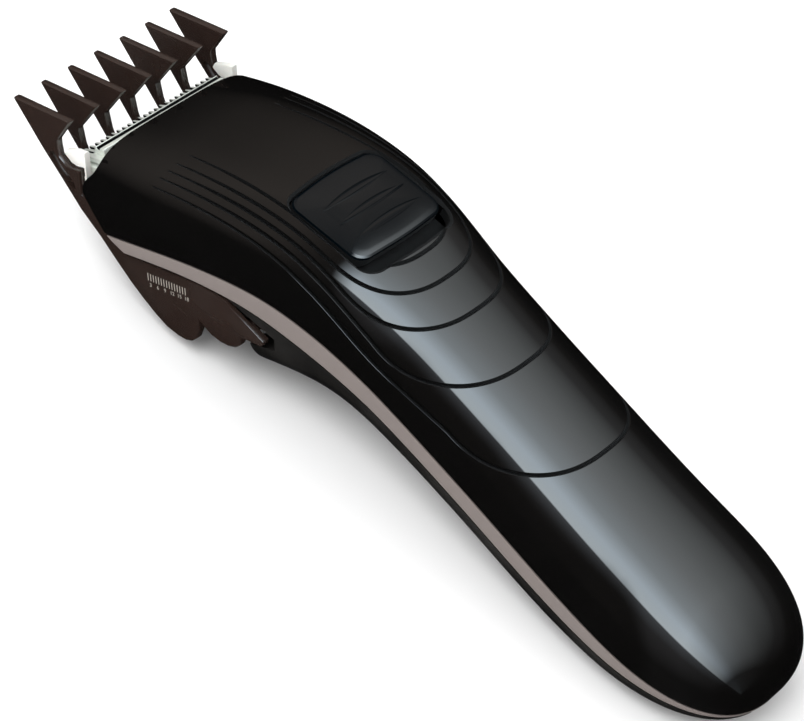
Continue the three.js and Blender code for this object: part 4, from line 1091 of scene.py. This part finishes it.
class CLIPPER_OT_cutters(bpy.types.Operator):
    """Build the fixed and the moving cutter with their teeth, and the white frame around them"""
    bl_idname = "clipper.cutters"
    bl_label = "Cutting unit"

    def execute(self, context):
        teeth = settings()[0].cutter_teeth
        fixed = self.toothed(FIXED_CUTTER, CUTTER_HALF_WIDTH, teeth, 0.5)
        fixed = cut(fixed, block(9.4, 14, -6.2, 6.2, -4, 2), self.screw_hole(-1, -4), self.screw_hole(1, -4))
        # The fixed cutter's tooth flanks get painted shade.
        place_piece(mark_tooth_shade(shade(fixed)), "fixed_cutter_finished", blade_finish(), "casing",
                    ["fixed_cutter"], HEAD)
        moving = self.toothed(MOVING_CUTTER, MOVING_HALF_WIDTH, teeth - 1, 0.45)
        reach = MOVING_HALF_WIDTH - RIB_END
        moving = joined(moving, bevelled(prism_y(RIB, -reach, reach), 0.08))
        # The moving cutter's tooth flanks and the bottom of its rib's groove get painted shade.
        place_piece(mark_tooth_shade(shade(moving)), "moving_cutter_finished", blade_finish(), "blade",
                    ["moving_cutter"], HEAD)
        place_piece(shade(self.holder()), "cutter_frame_finished", frame_plastic(), "casing",
                    ["cutter_frame"], HEAD)
        return {"FINISHED"}

    def toothed(self, levels, half, count, chamfer):
        """A cutter plate with count teeth, whose upper edge slants down by chamfer towards the tips."""
        tip, root, back, z0, z1 = levels
        pitch = 2 * half / count
        side = [(start + behind, share * pitch)
                for start, (behind, share) in ((tip, TOOTH_TIP), (tip, TOOTH_SHOULDER), (root, TOOTH_ROOT))]
        tooth = prism_z([(side[0][0], -side[0][1])] + side + [(x, -y) for x, y in side[:0:-1]], z0, z1)
        slant = prism_y([(tip - 1, z1 + 1), (tip - 1, z1 - chamfer), (tip, z1 - chamfer), (root, z1 + 0.05),
                         (root, z1 + 1)], -1, 1)
        row = row_of(cut(tooth, slant), count, (0, -half + pitch / 2, 0), (0, pitch, 0), blade_finish())
        return joined(prism_z([(root, -half), (back, -half), (back, half), (root, half)], z0, z1), row)

    def screw_hole(self, side, low):
        return rod_z(CUTTER_SCREW_RADIUS, low, 2, CUTTER_SCREW_BACK, side * CUTTER_SCREW_SIDE)

    def holder(self):
        """The white frame under and beside the cutters."""
        made = common(prism_z(HOLDER_PLAN, -6, 2), prism_y(HOLDER_SIDE, -30, 30))
        for side in (-1, 1):
            y0, y1 = sorted((side * CHEEK_INSIDE, side * CHEEK_OUTSIDE))
            made = joined(made, bevelled(prism_y(CHEEK, y0, y1), 0.25))
            made = cut(made, self.screw_hole(side, -4.4))
        made = cut(made, block(9, 15, -6.4, 6.4, -7, 3))
        room = body_skin(WALL + 0.6, WALL + 0.6, 24, 60)
        room.transform(BODY_TO_HEAD)
        return common(made, joined(room, block(-5, 8.1, -30, 30, -10, 5)))


class CLIPPER_OT_frame_pieces(bpy.types.Operator):
    """Give the frame's own pieces their finishes"""
    bl_idname = "clipper.frame_pieces"
    bl_label = "Inner pieces"

    def execute(self, context):
        by_slot = {
            "matt_black": underside_finish(),
            "smoked_plastic": comb_finish(),
            "white_plastic": frame_plastic(),
            "slate_grey": button_finish(),
            "spring_steel": brushed("Spring steel", (0.68, 0.69, 0.7), 0.2, along=(40, 2400, 2400)),
            "blade_steel": blade_finish(),
            "motor_steel": brushed("Zinc plated can", (0.6, 0.61, 0.6), 0.28, along=(2400, 30, 30)),
            "brass": brushed("Bare brass", (0.8, 0.62, 0.32), 0.2, along=(2000, 40, 40)),
            "board_green": finish("Circuit board", (0.1, 0.38, 0.2), 0.35, coat=0.3, grain=(900, 0.5)),
            "red_insulation": finish("Red sleeve", (0.6, 0.1, 0.08), 0.45, grain=(1500, 0.4)),
            "black_insulation": finish("Black insulation", (0.09, 0.09, 0.09), 0.4, grain=(2200, 0.7),
                                       bump=0.15),
            "gloss_black": shell_finish(),
            "silver_trim": trim_finish(),
        }
        slots = {part["node"]: part["material_slot"] for part in frame["record"]["subparts"]}
        for node, piece in frame["nodes"].items():
            piece.data.materials.clear()
            piece.data.materials.append(by_slot[slots[node]])
        return {"FINISHED"}


# The camera in the body frame, mm and degrees: its turns round the target (round, up and its own roll), its
# distance from it, the target, and how far it aims to the right of it and over it, as shares of the distance.
CAMERA_TURN = (11.762, 47.98, 38.21)
CAMERA_DISTANCE = 658.84
CAMERA_TARGET = Vector((90, 0, 20))
CAMERA_AIM = (-0.023424, 0.008334)
CAMERA_LENS, CAMERA_SENSOR, CAMERA_CLIP = 156.39, 36, (0.05, 20)
FLOOR_SIZE = 6
# The lamps: name, place, target, size and power.
LAMPS = (("key", (-0.15, -0.5, 0.7), (0, 0, 0.02), (0.6, 0.5), 5),
         ("head", (-0.5, 0.25, 0.45), (-0.06, 0, 0.03), (0.35, 0.35), 1.5))

# The overhead soft box as glossy surfaces see it: its brightness against the angle across the handle, from
# the near horizon (0) over the zenith (0.5) to the far horizon (1), and against the direction along the
# handle.
SOFT_BOX_STRENGTH = 10
SOFT_BOX_ACROSS = ((0.0, (0.004, 0.004, 0.004)), (0.24, (0.03, 0.03, 0.032)), (0.332, (0.09, 0.1, 0.11)),
                   (0.34, (0.85, 0.95, 1.0)), (0.43, (0.78, 0.9, 1.0)), (0.53, (0.42, 0.47, 0.5)),
                   (0.64, (0.27, 0.29, 0.3)), (0.7, (0.2, 0.215, 0.22)), (0.76, (0.11, 0.118, 0.12)),
                   (0.83, (0.03, 0.031, 0.032)), (0.92, (0.003, 0.003, 0.003)), (1.0, (0.001, 0.001, 0.001)))
SOFT_BOX_SLANT = 0.15
SOFT_BOX_ALONG = ((0.0, (0, 0, 0)), (0.46, (0.0, 0.0, 0.0)), (0.515, (0.95, 0.95, 0.95)), (0.66, (1, 1, 1)),
                  (0.86, (0.35, 0.35, 0.35)), (0.93, (0.03, 0.03, 0.03)))
ROOM_COLOUR = (0.66, 0.62, 0.59)
MATT_LIGHT = 0.9


class CLIPPER_OT_stage(bpy.types.Operator):
    """Set the floor, the lights and the camera"""
    bl_idname = "clipper.stage"
    bl_label = "Stage"

    def execute(self, context):
        scene = context.scene
        scene.camera = self.camera()
        scene.world = self.studio()
        self.floor()
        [self.soft_box(*lamp) for lamp in LAMPS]
        scene.view_settings.view_transform = "Standard"
        return {"FINISHED"}

    def camera_axes(self):
        azimuth, elevation, roll = (math.radians(a) for a in CAMERA_TURN)
        back = Vector((math.sin(azimuth) * math.cos(elevation), -math.cos(azimuth) * math.cos(elevation),
                       math.sin(elevation)))
        right = Vector((math.cos(azimuth), math.sin(azimuth), 0))
        up = back.cross(right)
        return (math.cos(roll) * right + math.sin(roll) * up, -math.sin(roll) * right + math.cos(roll) * up,
                back)

    def camera(self):
        right, up, back = self.camera_axes()
        turn = BODY.to_3x3() * 1000
        place = BODY @ (CAMERA_TARGET + back * CAMERA_DISTANCE)
        forward = (turn @ (-back + right * CAMERA_AIM[0] + up * CAMERA_AIM[1])).normalized()
        right = turn @ right
        right = (right - forward * right.dot(forward)).normalized()
        up = right.cross(forward)
        data = bpy.data.cameras.new("camera")
        data.lens, data.sensor_width = CAMERA_LENS, CAMERA_SENSOR
        data.clip_start, data.clip_end = CAMERA_CLIP
        camera = new_object("camera", data)
        camera.matrix_world = Matrix.Translation(place) @ Matrix((right, up, -forward)).transposed().to_4x4()
        return camera

    def floor(self):
        size = FLOOR_SIZE
        corners = [(-size, -size, 0), (size, -size, 0), (size, size, 0), (-size, size, 0)]
        floor = new_object("floor", new_mesh("floor", corners, [(0, 1, 2, 3)]))
        pale = bpy.data.materials.new("Pale floor")
        pale.use_nodes = True
        shader = pale.node_tree.nodes["Principled BSDF"]
        shader.inputs["Base Color"].default_value = (0.93, 0.93, 0.93, 1)
        shader.inputs["Roughness"].default_value = 0.9
        shader.inputs["Specular IOR Level"].default_value = 0.1
        floor.data.materials.append(pale)
        floor.visible_glossy = False
        return floor

    def studio(self):
        """White light all round for what is matt, and one broad soft box overhead for what is glossy."""
        world = bpy.data.worlds.new("studio")
        world.use_nodes = True
        tree = world.node_tree
        matt = tree.nodes["Background"]
        matt.inputs["Color"].default_value = (1, 1, 1, 1)
        matt.inputs["Strength"].default_value = MATT_LIGHT
        place = tree.nodes.new("ShaderNodeTexCoord").outputs["Generated"]
        axes = add_node(tree, "ShaderNodeSeparateXYZ", {"Vector": place}).outputs
        lean = math_node(tree, "ARCTAN2", axes["Y"], axes["Z"])
        over = self.ramp(tree, SOFT_BOX_ACROSS, map_range(tree, lean, -math.pi / 2, math.pi / 2))
        slanted = math_node(tree, "MULTIPLY_ADD", axes["Y"], SOFT_BOX_SLANT, axes["X"])
        along = self.ramp(tree, SOFT_BOX_ALONG, map_range(tree, slanted, -1, 1))
        box = add_node(tree, "ShaderNodeBackground", {"Color": mix_colour(tree, 1, over, along, "MULTIPLY"),
                                                      "Strength": SOFT_BOX_STRENGTH})
        ahead = map_range(tree, axes["X"], 0.0, -0.45, to_low=0.1)
        overhead = map_range(tree, axes["Z"], 0.1, 0.6)
        strength = math_node(tree, "MULTIPLY", ahead, overhead)
        room = add_node(tree, "ShaderNodeBackground", {"Color": (*linear(ROOM_COLOUR), 1),
                                                       "Strength": strength})
        both = add_node(tree, "ShaderNodeAddShader", {0: box.outputs[0], 1: room.outputs[0]})
        glossy = tree.nodes.new("ShaderNodeLightPath").outputs["Is Glossy Ray"]
        pick = add_node(tree, "ShaderNodeMixShader", {0: glossy, 1: matt.outputs[0], 2: both.outputs[0]})
        tree.links.new(pick.outputs[0], tree.nodes["World Output"].inputs["Surface"])
        return world

    def ramp(self, tree, stops, share):
        """The colour at a share of the way through the stops."""
        node = add_node(tree, "ShaderNodeValToRGB", {"Fac": share})
        elements = node.color_ramp.elements
        while len(elements) > 1:
            elements.remove(elements[-1])
        for i, (place, colour) in enumerate(stops):
            element = elements[0] if i == 0 else elements.new(place)
            element.position = place
            element.color = (*colour, 1)
        return node.outputs["Color"]

    def soft_box(self, name, place, target, size, power):
        data = bpy.data.lights.new(name, "AREA")
        data.shape = "RECTANGLE"
        data.size, data.size_y = size
        data.energy = power
        lamp = new_object(name, data)
        lamp.location = place
        lamp.rotation_euler = (Vector(target) - Vector(place)).to_track_quat("-Z", "Y").to_euler()
        lamp.visible_glossy = False
        return lamp


PIECES = (CLIPPER_OT_frame_pieces, CLIPPER_OT_casing, CLIPPER_OT_switch, CLIPPER_OT_comb, CLIPPER_OT_cutters)


class CLIPPER_PT_panel(bpy.types.Panel):
    """Settings and steps of the hair clipper"""
    bl_label = "Hair clipper"
    bl_idname = "CLIPPER_PT_panel"
    bl_space_type = "VIEW_3D"
    bl_region_type = "UI"
    bl_category = "Clipper"

    def draw(self, context):
        for group in (context.scene.clipper_sizes, context.scene.clipper_colours):
            for name in group.__annotations__:
                self.layout.prop(group, name)
        for step in PIECES + (CLIPPER_OT_stage,):
            self.layout.operator(step.bl_idname)


CLASSES = (ClipperColours, ClipperSizes) + PIECES + (CLIPPER_OT_stage, CLIPPER_PT_panel)


def register():
    for item in CLASSES:
        bpy.utils.register_class(item)
    bpy.types.Scene.clipper_sizes = bpy.props.PointerProperty(type=ClipperSizes)
    bpy.types.Scene.clipper_colours = bpy.props.PointerProperty(type=ClipperColours)


def unregister():
    del bpy.types.Scene.clipper_sizes
    del bpy.types.Scene.clipper_colours
    for item in reversed(CLASSES):
        bpy.utils.unregister_class(item)


def main():
    register()
    for step in ("frame_pieces", "casing", "switch", "comb", "cutters", "stage"):
        getattr(bpy.ops.clipper, step)()


if __name__ == "__main__":
    main()
